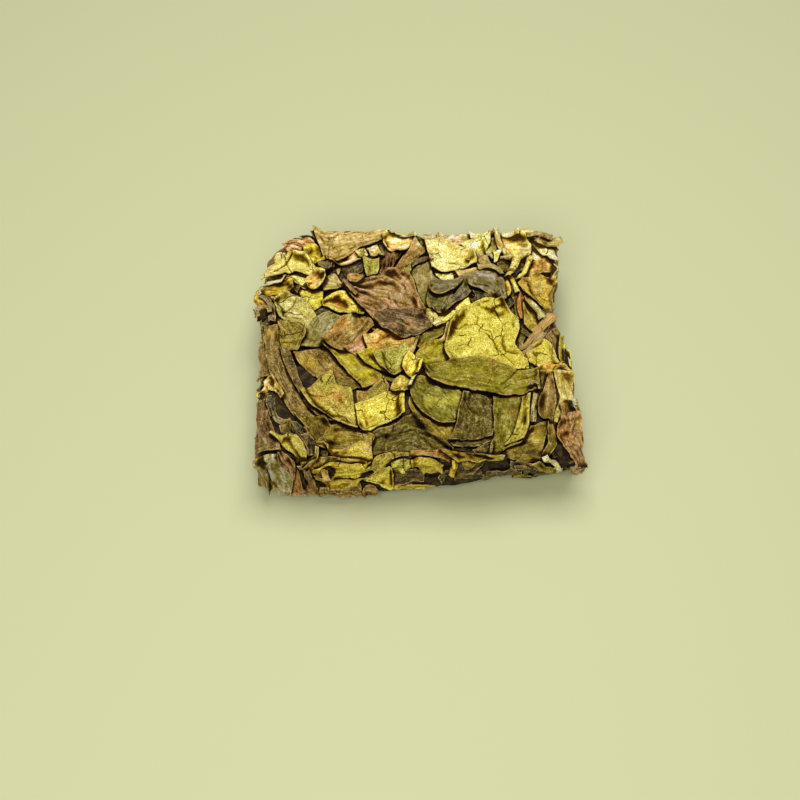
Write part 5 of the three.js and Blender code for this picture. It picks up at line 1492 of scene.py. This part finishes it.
class Pressing:
    """The laying of all leaves, in order, and the sheets that it leaves behind."""

    def __init__(self, scene):
        self.block = Block(scene.teacake_block)
        self.leaves = scene.teacake_leaves
        self.colours = scene.teacake_colours
        self.sheets = {"top": [], "sides": [], "underside": []}

    def put(self, face, leaf, seed):
        """Lays one leaf on a named face."""
        block, sizes = self.block, self.leaves
        relief, place, step = {
            "top": (block.over_top, block.on_top, sizes.fine_step),
            "sides": (block.round_sides, block.on_side, sizes.coarse_step),
            "underside": (block.underneath, block.on_underside, sizes.coarse_step * 1.3),
        }[face]
        self.sheets[face].append(lay(relief, place, leaf, seed, sizes.thickness, step, self.colours))

    def cover_sides(self):
        """Leaves pressed flat round the sides, most of them lying along the side."""
        rng = np.random.default_rng(11)
        height = self.block.top
        count = self.leaves.side_cover
        for k in range(count):
            low = k < count * 0.4
            walk = self.block.perimeter * spread(k)
            z = height * rng.uniform(0.14, 0.86)
            steep = rng.random() < 0.16
            heading = rng.normal(math.pi / 2, 0.3) if steep else rng.normal(0, 0.2)
            length = rng.uniform(5, 8) if steep else rng.uniform(6, 13)
            width = rng.uniform(2.2, 4) if steep else rng.uniform(1.8, 4.4)
            half = (length if steep else width) / 2
            z = np.clip(z, 0.2 + half, height - 0.4 - half)
            leaf = random_leaf(
                rng,
                choose(rng, LINING_TONES if low else SIDE_TONES),
                (walk, z),
                heading,
                length,
                width,
                edges=(rng.uniform(0, 0.25), rng.uniform(0, 0.25)),
                ends=(rng.uniform(0, 0.15), rng.uniform(0, 0.15)),
                arch=max(0, rng.normal(0, 0.12)),
                crumple=rng.uniform(0.08, 0.3),
                wrinkles=rng.uniform(0.03, 0.2),
                torn=rng.uniform(0.15, 0.45),
                light=rng.uniform(0.75, 0.95) if low else rng.uniform(0.82, 1.08),
            )
            if FRONT_END < walk < self.block.perimeter - FRONT_START:
                self.put("sides", leaf, 2000 + k)

    def ledges(self):
        """Edges of flat layers: level strips that start inside the block and end a little way
        out of its side. Their outer edge wavers in and out and up and down along the strip."""
        rng = np.random.default_rng(23)
        thickness = self.leaves.thickness
        for k in range(self.leaves.ledges):
            length = rng.uniform(5, 14)
            start = LEDGES_FROM + (self.block.perimeter - LEDGES_SHORT) * spread(k, SECOND_STEP)
            z = rng.uniform(0.08, 0.93) * self.block.top
            reach = rng.uniform(0.3, 0.85)
            seed = 3000 + k
            rows, columns = max(6, int(length / 0.4)), 9
            u, v = np.meshgrid(np.linspace(0, 1, rows), np.linspace(0, 1, columns), indexing="ij")
            walk = start + (u - 0.5) * length
            taper = np.sin(np.pi * (0.06 + 0.88 * u)) ** 0.5
            out = -1.6 + v * (1.6 + reach * taper * (1 + 0.35 * noise(walk / 1.7, v * 0, seed)))
            sag = z + 0.25 * noise(walk / 3, v * 0.7, seed + 1) + rng.uniform(-0.5, 0.5) * (u - 0.5)
            sag = sag + (v**2) * rng.uniform(-0.5, 0.4) + 0.08 * ridged(walk / 0.9, v * 1.2, seed + 2)
            plan, away = self.block.around(walk)
            flat = plan + away * (out - self.block.inset(plan, sag))[..., None]
            upper = np.concatenate([flat, np.maximum(sag + thickness * 0.7, 0.2)[..., None]], axis=-1)
            lower = np.concatenate([flat, np.maximum(sag - thickness * 0.7, 0.02)[..., None]], axis=-1)
            tone = choose(rng, SIDE_TONES)
            base = tones(self.colours, tone) * rng.uniform(0.85, 1.1)
            tint = np.broadcast_to(np.append(base, 0), u.shape + (4,)).copy()
            tint[..., :3] *= (0.9 + 0.2 * layered(walk / 2, v * 2, seed + 4))[..., None]
            edge = np.minimum((1 - v) * (1.6 + reach), np.minimum(u, 1 - u) * length)
            grain = np.stack([u * length, v * 3, edge], axis=-1)
            self.sheets["sides"].append(Layer(upper, lower, np.clip(tint, 0, 1), grain, tone))

    def cover_underside(self):
        """Leaves pressed flat under the cake, with the pressed mass bare between their bands."""
        rng = np.random.default_rng(31)
        count = self.leaves.underside
        for k in range(count):
            low = k < count * 0.35
            across = spread(k) * 2 - 1
            back = spread(k, SECOND_STEP, 0.3) * 2 - 1
            leaf = random_leaf(
                rng,
                choose(rng, LINING_TONES if low else UNDERSIDE_TONES),
                (across * 21, back * 18.5),
                rng.uniform(0, 2 * math.pi),
                rng.uniform(8, 14),
                rng.uniform(4, 7.5),
                edges=(0.05, 0.05),
                ends=(0.05, 0.05),
                crumple=rng.uniform(0.06, 0.16),
                wrinkles=rng.uniform(0.02, 0.1),
                torn=0.3,
                light=rng.uniform(0.8, 1.05),
            )
            self.put("underside", leaf, 5000 + k)

    def cover_top(self):
        """The lining of the top, then its named leaves in their order."""
        self.block.carry_sides_to_top()
        rng = np.random.default_rng(47)
        for k in range(self.leaves.lining):
            across = spread(k) * 2 - 1
            back = spread(k, SECOND_STEP, 0.5) * 2 - 1
            leaf = random_leaf(
                rng,
                choose(rng, LINING_TONES),
                (across * 22, back * 19.5),
                rng.uniform(0, 2 * math.pi),
                rng.uniform(7, 12),
                rng.uniform(3.5, 6.5),
                crumple=rng.uniform(0.15, 0.35),
                # Very dark: painted shade in the gaps between the leaves above.
                light=rng.uniform(0.12, 0.3),
                step=self.leaves.coarse_step,
            )
            self.put("top", leaf, 4000 + k)
        named = BACK_LEFT + BACK_MIDDLE + BACK_RIGHT + MIDDLE_LEFT + RIGHT + CENTRE + [HERO_LEAF]
        named += FRONT_RIGHT + FRONT_LEFT + [FRONT_BAND]
        for k in rng.permutation(len(named)):
            self.put("top", grown(named[k], 1.3, self.leaves.coarse_step), 9000 + 7 * int(k))
        # The dark sheets of painted shade, laid flat.
        for k, leaf in enumerate(PAINTED_SHADOWS):
            flat = replace(leaf, lift=0.02, edges=(0, 0), ends=(0, 0), crumple=0.08, step=0.3)
            self.put("top", flat, 8000 + 7 * k)
        for k, leaf in enumerate(named + FRONT_EDGE_LEAVES):
            self.put("top", leaf, 6000 + 7 * k)

    def scatter_crumbs(self):
        """Small torn bits on the top and the sides."""
        rng = np.random.default_rng(59)
        for k in range(self.leaves.crumbs):
            on_top = k % 6 == 0
            size = rng.uniform(0.25, 0.6)
            turn, share = rng.uniform(0, 2 * math.pi), rng.uniform(0.86, 1.0)
            on_edge = (22 * share * math.cos(turn), 20 * share * math.sin(turn))
            place = on_edge if on_top else (rng.uniform(0, self.block.perimeter), rng.uniform(1, 8.5))
            leaf = random_leaf(
                rng,
                choose(rng, CRUMB_TONES),
                place,
                rng.uniform(0, 2 * math.pi),
                size * rng.uniform(1.8, 3.4),
                size,
                lift=0.03,
                edges=(0, 0),
                ends=(0, 0),
                crumple=0.06,
                torn=0.3,
                stiff=2,
                step=0.15,
                light=rng.uniform(0.8, 1.0),
            )
            self.put("top" if on_top else "sides", leaf, 7000 + k)


PRESSING = []


def pressing():
    """The one pressing that all pieces are taken from, made the first time it is asked for."""
    if not PRESSING:
        work = Pressing(bpy.context.scene)
        work.cover_sides()
        work.cover_underside()
        work.cover_top()
        work.scatter_crumbs()
        # Painted shade goes into every leaf that lies in a crevice.
        for sheet in sum(work.sheets.values(), []):
            sheet.paint_crevice_shade()
        work.block.press()
        work.ledges()
        PRESSING.append(work)
    return PRESSING[0]


# ---------------------------------------------------------------- materials


class Wire:
    """An output of a node. Arithmetic on wires and numbers adds Math nodes."""

    def __init__(self, shader, socket):
        self.shader = shader
        self.socket = socket

    def _math(self, operation, *values):
        return self.shader.out("ShaderNodeMath", {"operation": operation}, dict(enumerate(values)))

    def __add__(self, other):
        return self._math("ADD", self, other)

    def __sub__(self, other):
        return self._math("SUBTRACT", self, other)

    def __mul__(self, other):
        return self._math("MULTIPLY", self, other)

    def __truediv__(self, other):
        return self._math("DIVIDE", self, other)

    def __rsub__(self, other):
        return self._math("SUBTRACT", other, self)

    def __pow__(self, other):
        return self._math("POWER", self, other)

    __radd__ = __add__
    __rmul__ = __mul__

    def __abs__(self):
        return self._math("ABSOLUTE", self)

    def fraction(self):
        return self._math("FRACT", self)

    def rise(self, low, high):
        """0 below low and 1 above high, smooth between; low may be the larger."""
        share = self.shader.out(
            "ShaderNodeMapRange",
            {"interpolation_type": "SMOOTHSTEP"},
            {0: self, 1: min(low, high), 2: max(low, high), 3: 0.0, 4: 1.0},
        )
        return share if low < high else 1 - share


class Shader:
    """A material being built, with one method that adds any node."""

    def __init__(self, name):
        self.material = bpy.data.materials.new(name)
        self.material.use_nodes = True
        self.tree = self.material.node_tree
        self.surface = self.tree.nodes["Principled BSDF"]

    def node(self, kind, settings=None, inputs=None):
        """Adds a node: its settings first, then numbers or wires for its sockets."""
        node = self.tree.nodes.new(kind)
        for key, value in (settings or {}).items():
            setattr(node, key, value)
        for key, value in (inputs or {}).items():
            self.feed(node.inputs[key], value)
        return node

    def out(self, kind, settings=None, inputs=None, output=0):
        """Adds a node and gives the wire from one of its outputs."""
        return Wire(self, self.node(kind, settings, inputs).outputs[output])

    def feed(self, socket, value):
        """Joins a wire to a socket, or sets the socket to a fixed value."""
        if isinstance(value, Wire):
            self.tree.links.new(value.socket, socket)
        else:
            socket.default_value = value

    def mix(self, share, first, second, blend="MIX"):
        """One colour into another."""
        settings = {"data_type": "RGBA", "blend_type": blend}
        colours = {6: first, 7: second}
        fixed = {key: (*c, 1.0) if isinstance(c, tuple) else c for key, c in colours.items()}
        return self.out("ShaderNodeMix", settings, {0: share, **fixed}, output=2)

    def brighten(self, colour, amount):
        """A colour times a number that varies, so that its lighter parts come out paler and
        its darker parts warmer: blue changes most and red least."""
        parts = {0: amount, 1: amount**GREEN_POWER, 2: amount**BLUE_POWER}
        factor = self.out("ShaderNodeCombineColor", {}, parts)
        return self.mix(1.0, colour, factor, blend="MULTIPLY")

    def noise(self, where, scale, detail=2.0, roughness=0.5, distortion=0.0, kind="FBM"):
        """Noise at the given scale, evened out to about 0 to 1 unless it is ridged."""
        inputs = {
            "Vector": where,
            "Scale": scale,
            "Detail": detail,
            "Roughness": roughness,
            "Distortion": distortion,
        }
        return self.out("ShaderNodeTexNoise", {"noise_type": kind, "normalize": kind == "FBM"}, inputs)

    def cells(self, where, scale):
        """How far each point is from the borders of a net of cells."""
        inputs = {"Vector": where, "Scale": scale}
        return self.out("ShaderNodeTexVoronoi", {"feature": "DISTANCE_TO_EDGE"}, inputs)

    def millimetres(self):
        """Object coordinates in millimetres."""
        place = self.out("ShaderNodeTexCoord", output=3)
        return self.out("ShaderNodeVectorMath", {"operation": "SCALE"}, {0: place, "Scale": 1 / MM})

    def shifted(self, where, amount, scale):
        """Coordinates pushed about by noise, so that a net drawn on them wavers."""
        push = self.out("ShaderNodeTexNoise", {}, {"Vector": where, "Scale": scale, "Detail": 2.0}, output=1)
        centred = self.out("ShaderNodeVectorMath", {"operation": "SUBTRACT"}, {0: push, 1: (0.5, 0.5, 0.5)})
        scaled = self.out("ShaderNodeVectorMath", {"operation": "SCALE"}, {0: centred, "Scale": amount})
        return self.out("ShaderNodeVectorMath", {"operation": "ADD"}, {0: where, 1: scaled})

    def finish(self, colour, roughness, relief, depth, gloss):
        """Feeds the surface: colour, roughness, bump of the given depth in millimetres."""
        bump = self.out("ShaderNodeBump", {}, {"Height": relief, "Distance": depth * MM, "Strength": 1.0})
        self.feed(self.surface.inputs["Base Color"], colour)
        self.feed(self.surface.inputs["Roughness"], roughness)
        self.feed(self.surface.inputs["Normal"], bump)
        self.surface.inputs["Specular IOR Level"].default_value = gloss
        return self.material


# What is left of a leaf's brightness before the noises, which average a half each, add to it.
PLAIN_SHADE = -0.55


def leaf_material(name, colours, strands, creased, pale, veins, cracks, specks, gloss, rough):
    """A dried leaf. The tint attribute gives its own colour and, in its fourth part, painted shade in its
    grooves and in the crevices between leaves; the grain attribute runs along it, across from its midrib,
    and in from its edge, in millimetres."""
    sh = Shader(name)
    tint = sh.node("ShaderNodeAttribute", {"attribute_name": "tint"})
    own, painted_shade = Wire(sh, tint.outputs["Color"]), Wire(sh, tint.outputs["Alpha"])
    grain = sh.out("ShaderNodeAttribute", {"attribute_name": "grain"}, output=1)
    parts = sh.node("ShaderNodeSeparateXYZ", {}, {0: grain})
    along, across, edge = (Wire(sh, parts.outputs[k]) for k in range(3))
    place = sh.millimetres()

    cloud = sh.noise(place, 0.5, 2.0, 0.6)
    mottle = sh.noise(place, 1.7, 2.0, 0.6)
    grit = sh.noise(place, 4.0, 2.0, 0.7)
    pores = sh.noise(place, 5.0, 1.0, 0.5)
    drawn_out = sh.out("ShaderNodeVectorMath", {"operation": "MULTIPLY"}, {0: grain, 1: (0.4, 2.4, 0.0)})
    strand = sh.noise(drawn_out, 1.0, 2.0, 0.6, 0.5)
    fold = sh.noise(sh.shifted(place, 0.6, 0.9), 1.1, 2.0, 0.5, kind="RIDGED_MULTIFRACTAL").rise(0.5, 2.2)
    side = (along - abs(across) * 1.2 + cloud * 1.6) / 2.3
    rib = abs(side.fraction() - 0.5).rise(0.05, 0.0)
    midrib = abs(across).rise(0.2, 0.05)
    lines = sh.out("ShaderNodeMath", {"operation": "MAXIMUM"}, {0: rib * 0.7, 1: midrib})
    crack_cells = sh.cells(sh.shifted(place, 1.5, 0.5), 0.24).rise(0.018, 0.004)
    crack = crack_cells * sh.noise(place, 0.3, 1.0).rise(0.5, 0.56)

    shade = PLAIN_SHADE - 0.75 * strands + cloud * 0.7 + mottle * 1.0 + grit * 1.4
    shade = shade + strand * (1.5 * strands)
    colour = sh.brighten(own, shade)
    colour = sh.mix(shade.rise(0.95, 1.55) * 0.45, colour, tuple(colours.cream))
    # Painted highlight: the crests of the fold pattern, which the bump also raises, lean towards cream.
    colour = sh.mix(fold * pale, colour, tuple(colours.cream))
    dots = (1 - grit.rise(0.5, 0.62) * specks) * (1 - pores.rise(0.5, 0.6) * (0.8 * specks))
    colour = sh.brighten(colour, dots)
    colour = sh.mix(pores.rise(0.46, 0.38) * pale, colour, tuple(colours.cream))
    colour = sh.mix(lines * veins, colour, tuple(colours.straw))
    browned = edge.rise(1.3, 0.2) * cloud.rise(0.5, 0.66)
    colour = sh.mix(browned * 0.5, colour, tuple(colours.brown))
    rim = edge.rise(0.18, 0.04) * mottle.rise(0.36, 0.56)
    colour = sh.mix(rim * 0.6, colour, tuple(colours.straw))
    # Painted shade from the tint's fourth part darkens the colour; the cracks are the leaf's own.
    colour = sh.brighten(colour, (1 - painted_shade) * (1 - crack * (0.9 * cracks)))

    relief = mottle * 0.3 + grit * 0.12 + fold * (0.9 * creased) + strand * (0.6 * strands)
    relief = relief + lines * veins - crack * 0.6
    return sh.finish(colour, rough + mottle * 0.2, relief, 1.0, gloss)


def core_material(colours):
    """The pressed mass between the leaves: near black brown, its dark leaf colour deepened into painted
    shade for the gaps between leaves, with folded crumbs of leaf.
    """
    sh = Shader("pressed mass")
    place = sh.millimetres()
    lumps = sh.noise(place, 0.9, 4.0, 0.65)
    folds = sh.cells(sh.shifted(place, 1.4, 0.7), 0.8)
    colour = sh.mix(lumps.rise(0.4, 0.7), tuple(colours.shadow), tuple(0.3 * c for c in colours.bark))
    return sh.finish(colour, 0.7 + lumps * 0.2, folds * 0.8 + lumps * 0.6, 0.5, 0.2)


def stalk_material(colours):
    """A dry stalk, grooved along its length: the grain attribute's second part runs round it."""
    sh = Shader("leaf stalk")
    grain = sh.out("ShaderNodeAttribute", {"attribute_name": "grain"}, output=1)
    tint = sh.out("ShaderNodeAttribute", {"attribute_name": "tint"})
    stretched = sh.out("ShaderNodeVectorMath", {"operation": "MULTIPLY"}, {0: grain, 1: (0.5, 5.0, 1.0)})
    fibre = sh.noise(stretched, 1.0, 3.0, 0.6)
    blotch = sh.noise(sh.millimetres(), 0.8, 3.0, 0.6)
    colour = sh.brighten(tint, 0.55 + fibre.rise(0.35, 0.65) * 0.5 + blotch * 0.35)
    colour = sh.mix(blotch.rise(0.52, 0.72) * 0.3, colour, tuple(colours.bark))
    return sh.finish(colour, 0.5 + fibre * 0.2, fibre, 0.5, 0.4)


def floor_material(colours):
    """A plain pale floor, very slightly uneven in tone."""
    sh = Shader("pale floor")
    tone = sh.noise(sh.millimetres(), 0.004, 2.0)
    colour = sh.mix(tone * 0.15, tuple(colours.floor), tuple(0.96 * c for c in colours.floor))
    return sh.finish(colour, 0.55 + tone * 0.05, tone, 0.01, 0.3)


GREENS = {"yellow", "pale", "cream", "gold"}
OLIVES = {"green", "olive", "grey", "silver", "dark"}
KHAKIS = {"green", "grey", "silver"}
STRAWS = {"bark", "straw"}


def by_tone(sheets, wanted):
    """The sheets whose tone is in a set."""
    return [s for s in sheets if s.tone in wanted]


# ---------------------------------------------------------------- operators


class TEACAKE_OT_core(bpy.types.Operator):
    """Build the dark pressed mass that shows between the leaves"""

    bl_idname = "teacake.core"
    bl_label = "Pressed mass"

    def execute(self, context):
        """A skin of rings from the middle of the underside, round the sides and over the top:
        each ring is the outline, drawn in by the profile at its height, with noise on it."""
        block = pressing().block
        skin = block.skin
        low, high = block.bottom + skin, block.top - 1.2
        foot = [0.1, 0.4, 0.7, 0.88, 0.96]
        wall, roof, count = 22, 16, 360
        rise = low + (high - low) * np.linspace(0.02, 0.98, wall)
        z = np.concatenate([np.full(len(foot), low), rise, np.full(roof, high)])
        share = np.concatenate([foot, np.ones(wall), np.linspace(0.985, 0.03, roof)])
        walk = np.arange(count) * block.perimeter / count
        plan, out = block.around(walk)
        lump = layered(walk[None, :] / 2.4, z[:, None] / 1.6, 71) * 0.25
        sunk = block.sunk_sides.at(walk[None, :] + 0 * lump, z[:, None] + 0 * lump)
        inset = block.inset(np.broadcast_to(plan[None], (len(z), count, 2)), z[:, None])
        ring = plan[None] - out[None] * (skin + sunk + inset + lump)[..., None]
        ring = ring * share[:, None, None]
        rough = 0.2 * layered(ring[..., 0] / 1.7, ring[..., 1] / 1.7, 73)
        over = block.top - block.sunk_top.at(ring[..., 0], ring[..., 1]) - skin + rough
        on_wall = z[:, None] + np.zeros(rough.shape)
        level = np.where(z[:, None] >= high, np.minimum(over, high + rough), on_wall)
        points = np.concatenate([ring, level[..., None]], axis=-1).reshape(-1, 3)
        rows = len(z)
        index = np.arange(rows * count).reshape(rows, count)
        after = np.roll(index, -1, axis=1)
        sides = np.stack([index[:-1], after[:-1], after[1:], index[1:]], axis=-1).reshape(-1, 4)
        caps = np.array([[0, 0, low], [0, 0, level[-1].mean()]])
        bottom, top = len(points), len(points) + 1
        fans = np.concatenate([
            np.stack([after[0], index[0], np.full(count, bottom)], axis=1),
            np.stack([index[-1], after[-1], np.full(count, top)], axis=1),
        ])
        triangles = np.concatenate([sides[:, [0, 1, 2]], sides[:, [0, 2, 3]], fans])
        material = core_material(context.scene.teacake_colours)
        points = np.concatenate([points, caps])
        mesh_object("pressed_mass", points, triangles, {}, material)
        return {"FINISHED"}


class TEACAKE_OT_top_leaves(bpy.types.Operator):
    """Build the leaves of the top, as one piece for each kind of leaf"""

    bl_idname = "teacake.top_leaves"
    bl_label = "Top leaves"

    def execute(self, context):
        colours = context.scene.teacake_colours
        sheets = pressing().sheets["top"]
        others = {s.tone for s in sheets} - GREENS - OLIVES - {"shadow"}
        green, olive, brown = leaf_looks(colours)
        # The dark sheets of painted shade for the hollows, in the near black of the pressed mass.
        leaves_object("top_painted_shadows", by_tone(sheets, {"shadow"}), core_material(colours))
        leaves_object("top_yellow_leaves", by_tone(sheets, {"yellow"}), green)
        leaves_object("top_green_leaves", by_tone(sheets, GREENS - {"yellow"}), green)
        leaves_object("top_khaki_leaves", by_tone(sheets, KHAKIS), olive)
        leaves_object("top_olive_leaves", by_tone(sheets, OLIVES - KHAKIS), olive)
        leaves_object("top_straw_leaves", by_tone(sheets, STRAWS), brown)
        leaves_object("top_brown_leaves", by_tone(sheets, others - STRAWS), brown)
        return {"FINISHED"}


class TEACAKE_OT_side_leaves(bpy.types.Operator):
    """Build the leaves and the layer edges of the four sides"""

    bl_idname = "teacake.side_leaves"
    bl_label = "Side leaves"

    def execute(self, context):
        sheets = pressing().sheets["sides"]
        others = {s.tone for s in sheets} - GREENS - OLIVES
        green, olive, brown = leaf_looks(context.scene.teacake_colours)
        leaves_object("side_yellow_green_leaves", by_tone(sheets, GREENS), green)
        leaves_object("side_olive_leaves", by_tone(sheets, OLIVES), olive)
        leaves_object("side_brown_leaves", by_tone(sheets, others), brown)
        return {"FINISHED"}


class TEACAKE_OT_underside_leaves(bpy.types.Operator):
    """Build the leaves pressed flat under the cake"""

    bl_idname = "teacake.underside_leaves"
    bl_label = "Underside leaves"

    def execute(self, context):
        sheets = pressing().sheets["underside"]
        greens = GREENS | OLIVES
        browns = {s.tone for s in sheets} - greens
        _, olive, brown = leaf_looks(context.scene.teacake_colours)
        leaves_object("underside_green_leaves", by_tone(sheets, greens), olive)
        leaves_object("underside_brown_leaves", by_tone(sheets, browns), brown)
        return {"FINISHED"}


# pale sets both the painted highlight on the fold crests and the leaf's own pale pores.
LEAF_LOOKS = {
    "yellow green leaf": {
        "strands": 0.3,
        "creased": 0.4,
        "pale": 0.18,
        "veins": 0.06,
        "cracks": 0.8,
        "specks": 0.45,
        "gloss": 0.06,
        "rough": 0.5,
    },
    "olive leaf": {
        "strands": 0.6,
        "creased": 0.7,
        "pale": 0.03,
        "veins": 0.05,
        "cracks": 0,
        "specks": 0.3,
        "gloss": 0.1,
        "rough": 0.45,
    },
    "brown leaf": {
        "strands": 0.7,
        "creased": 0.9,
        "pale": 0.1,
        "veins": 0.1,
        "cracks": 0,
        "specks": 0.35,
        "gloss": 0.14,
        "rough": 0.45,
    },
}


def leaf_looks(colours):
    """The three leaf materials, made once: yellow green, olive and brown."""
    made = [bpy.data.materials.get(name) for name in LEAF_LOOKS]
    if all(made):
        return made
    return [leaf_material(name, colours, **look) for name, look in LEAF_LOOKS.items()]


STALKS = [
    # path, radius at each end, tone, rise of each end
    ([(15.9, -2.1), (18.8, 1.2), (21.5, 4.3)], (0.25, 0.85), "stalk", (0.0, 0.3)),
    ([(16.4, -2.9), (18.2, -0.9), (20, 1.3)], (0.25, 0.45), "straw", (0.0, 0.1)),
]


class TEACAKE_OT_stalks(bpy.types.Operator):
    """Build the leaf stalks that lie across the top"""

    bl_idname = "teacake.stalks"
    bl_label = "Stalks"

    def execute(self, context):
        """A tube along each path: a circle, slightly flattened and grooved, whose radius runs
        from one end's to the other's and closes to a point just past either end."""
        work = pressing()
        block, colours = work.block, context.scene.teacake_colours
        points, faces, tint, grain, first = [], [], [], [], 0
        for path, radii, tone, rise in STALKS:
            rows, count = 60, 20
            share = np.linspace(0, 1, rows)
            middle = curve(path, share)
            along = np.gradient(middle, axis=0)
            along /= np.linalg.norm(along, axis=1)[:, None]
            side = np.stack([along[:, 1], -along[:, 0]], axis=1)
            close = np.sqrt(np.clip(1 - (np.abs(share - 0.5) * 2) ** 24, 0, 1))
            radius = np.interp(share, [0, 1], radii) * np.maximum(close, 0.04)
            turn = np.arange(count) * 2 * math.pi / count
            groove = 1 + 0.1 * np.sin(7 * turn)[None] * np.ones((rows, 1))
            groove = groove + 0.1 * noise(share[:, None] * 9, np.cos(turn)[None] * 3 + 9, 77)
            off = radius[:, None] * np.cos(turn)[None] * groove
            up = radius[:, None] * np.sin(turn)[None] * 0.45 * groove
            ground = drape(block.over_top.at(middle[:, :1], middle[:, 1:]), rounds=60)[:, 0]
            axis = ground + 0.55 * radius + np.interp(share, [0, 1], rise)
            x = middle[:, :1] + side[:, :1] * off
            y = middle[:, 1:] + side[:, 1:] * off
            placed = block.on_top(x, y, axis[:, None] + up, 0.3)
            index = np.arange(rows * count).reshape(rows, count)
            after = np.roll(index, -1, axis=1)
            quads = np.stack([index[:-1], index[1:], after[1:], after[:-1]], axis=-1).reshape(-1, 4)
            poles = rows * count + np.array([0, 1])
            caps = np.concatenate([
                np.stack([index[0], after[0], np.full(count, poles[0])], axis=1),
                np.stack([after[-1], index[-1], np.full(count, poles[1])], axis=1),
            ])
            tube = np.concatenate([quads[:, [0, 1, 2]], quads[:, [0, 2, 3]], caps])
            ends = np.stack([placed[0].mean(axis=0), placed[-1].mean(axis=0)])
            points += [placed.reshape(-1, 3), ends]
            faces.append(tube + first)
            total = rows * count + 2
            tint.append(np.broadcast_to(np.append(tones(colours, tone), 0), (total, 4)))
            length = np.linalg.norm(np.diff(middle, axis=0), axis=1).sum()
            strands = np.stack(np.broadcast_arrays(share[:, None] * length, turn[None], 0 * off), axis=-1)
            grain += [strands.reshape(-1, 3), np.zeros((2, 3))]
            first += total
        attributes = {"tint": np.concatenate(tint), "grain": np.concatenate(grain)}
        points, faces = np.concatenate(points), np.concatenate(faces)
        mesh_object("leaf_stalks", points, faces, attributes, stalk_material(colours))
        return {"FINISHED"}


def area_light(name, place, aim, size, power, tint):
    """A square soft light that looks at a point."""
    lamp = bpy.data.lights.new(name, "AREA")
    lamp.shape = "SQUARE"
    lamp.size = size
    lamp.energy = power
    lamp.color = tint
    holder = bpy.data.objects.new(name, lamp)
    holder.location = place
    holder.rotation_euler = (Vector(aim) - Vector(place)).to_track_quat("-Z", "Y").to_euler()
    bpy.context.scene.collection.objects.link(holder)


class TEACAKE_OT_stage(bpy.types.Operator):
    """Set the floor, the lights and the camera"""

    bl_idname = "teacake.stage"
    bl_label = "Stage"

    def execute(self, context):
        scene, stage = context.scene, context.scene.teacake_stage
        half = 1.5
        mesh = bpy.data.meshes.new("floor")
        corners = [(-half, -half, 0), (half, -half, 0), (half, half, 0), (-half, half, 0)]
        mesh.from_pydata(corners, [], [(0, 1, 2, 3)])
        mesh.materials.append(floor_material(scene.teacake_colours))
        floor = bpy.data.objects.new("floor", mesh)
        scene.collection.objects.link(floor)

        area_light("key light", (0.02, 0.10, 0.37), (0, 0, 0.005), 0.26, stage.key, (1.0, 1.0, 0.97))
        area_light("front light", (-0.06, -0.28, 0.34), (0, 0, 0), 0.3, stage.front, (1.0, 0.99, 0.95))
        world = bpy.data.worlds.new("room")
        world.use_nodes = True
        background = world.node_tree.nodes["Background"]
        background.inputs["Color"].default_value = (1, 0.93, 0.62, 1)
        background.inputs["Strength"].default_value = stage.room
        scene.world = world

        lens = bpy.data.cameras.new("camera")
        lens.lens = stage.lens
        lens.sensor_width = 36
        lens.clip_start = 0.01
        camera = bpy.data.objects.new("camera", lens)
        look = Vector((0, math.cos(stage.elevation), -math.sin(stage.elevation)))
        camera.location = (Vector(stage.target) - look * stage.distance) * MM
        camera.rotation_euler = look.to_track_quat("-Z", "Y").to_euler()
        scene.collection.objects.link(camera)
        scene.camera = camera
        scene.view_settings.view_transform = "Standard"
        return {"FINISHED"}


class TEACAKE_PT_panel(bpy.types.Panel):
    """The tea cake's pieces and settings in the sidebar"""

    bl_idname = "TEACAKE_PT_panel"
    bl_label = "Tea Cake"
    bl_space_type = "VIEW_3D"
    bl_region_type = "UI"
    bl_category = "Tea Cake"

    def draw(self, context):
        for operator in OPERATORS:
            self.layout.operator(operator.bl_idname)
        for title, group in GROUPS.items():
            self.layout.label(text=group.__doc__)
            settings = getattr(context.scene, title)
            for name in group.__annotations__:
                self.layout.prop(settings, name)


OPERATORS = (
    TEACAKE_OT_stage,
    TEACAKE_OT_core,
    TEACAKE_OT_side_leaves,
    TEACAKE_OT_underside_leaves,
    TEACAKE_OT_top_leaves,
    TEACAKE_OT_stalks,
)
GROUPS = {
    "teacake_block": TEACAKE_PG_block,
    "teacake_leaves": TEACAKE_PG_leaves,
    "teacake_colours": TEACAKE_PG_colours,
    "teacake_stage": TEACAKE_PG_stage,
}


def register():
    """Adds the settings, the operators and the panel to Blender."""
    for group in (*GROUPS.values(), *OPERATORS, TEACAKE_PT_panel):
        bpy.utils.register_class(group)
    for title, group in GROUPS.items():
        setattr(bpy.types.Scene, title, PointerProperty(type=group))


def unregister():
    """Takes them out again, in the opposite order."""
    for title in GROUPS:
        delattr(bpy.types.Scene, title)
    for group in (TEACAKE_PT_panel, *OPERATORS, *GROUPS.values()):
        bpy.utils.unregister_class(group)


def main():
    """Builds every piece."""
    register()
    bpy.ops.teacake.stage()
    bpy.ops.teacake.core()
    bpy.ops.teacake.side_leaves()
    bpy.ops.teacake.underside_leaves()
    bpy.ops.teacake.top_leaves()
    bpy.ops.teacake.stalks()


if __name__ == "__main__":
    main()
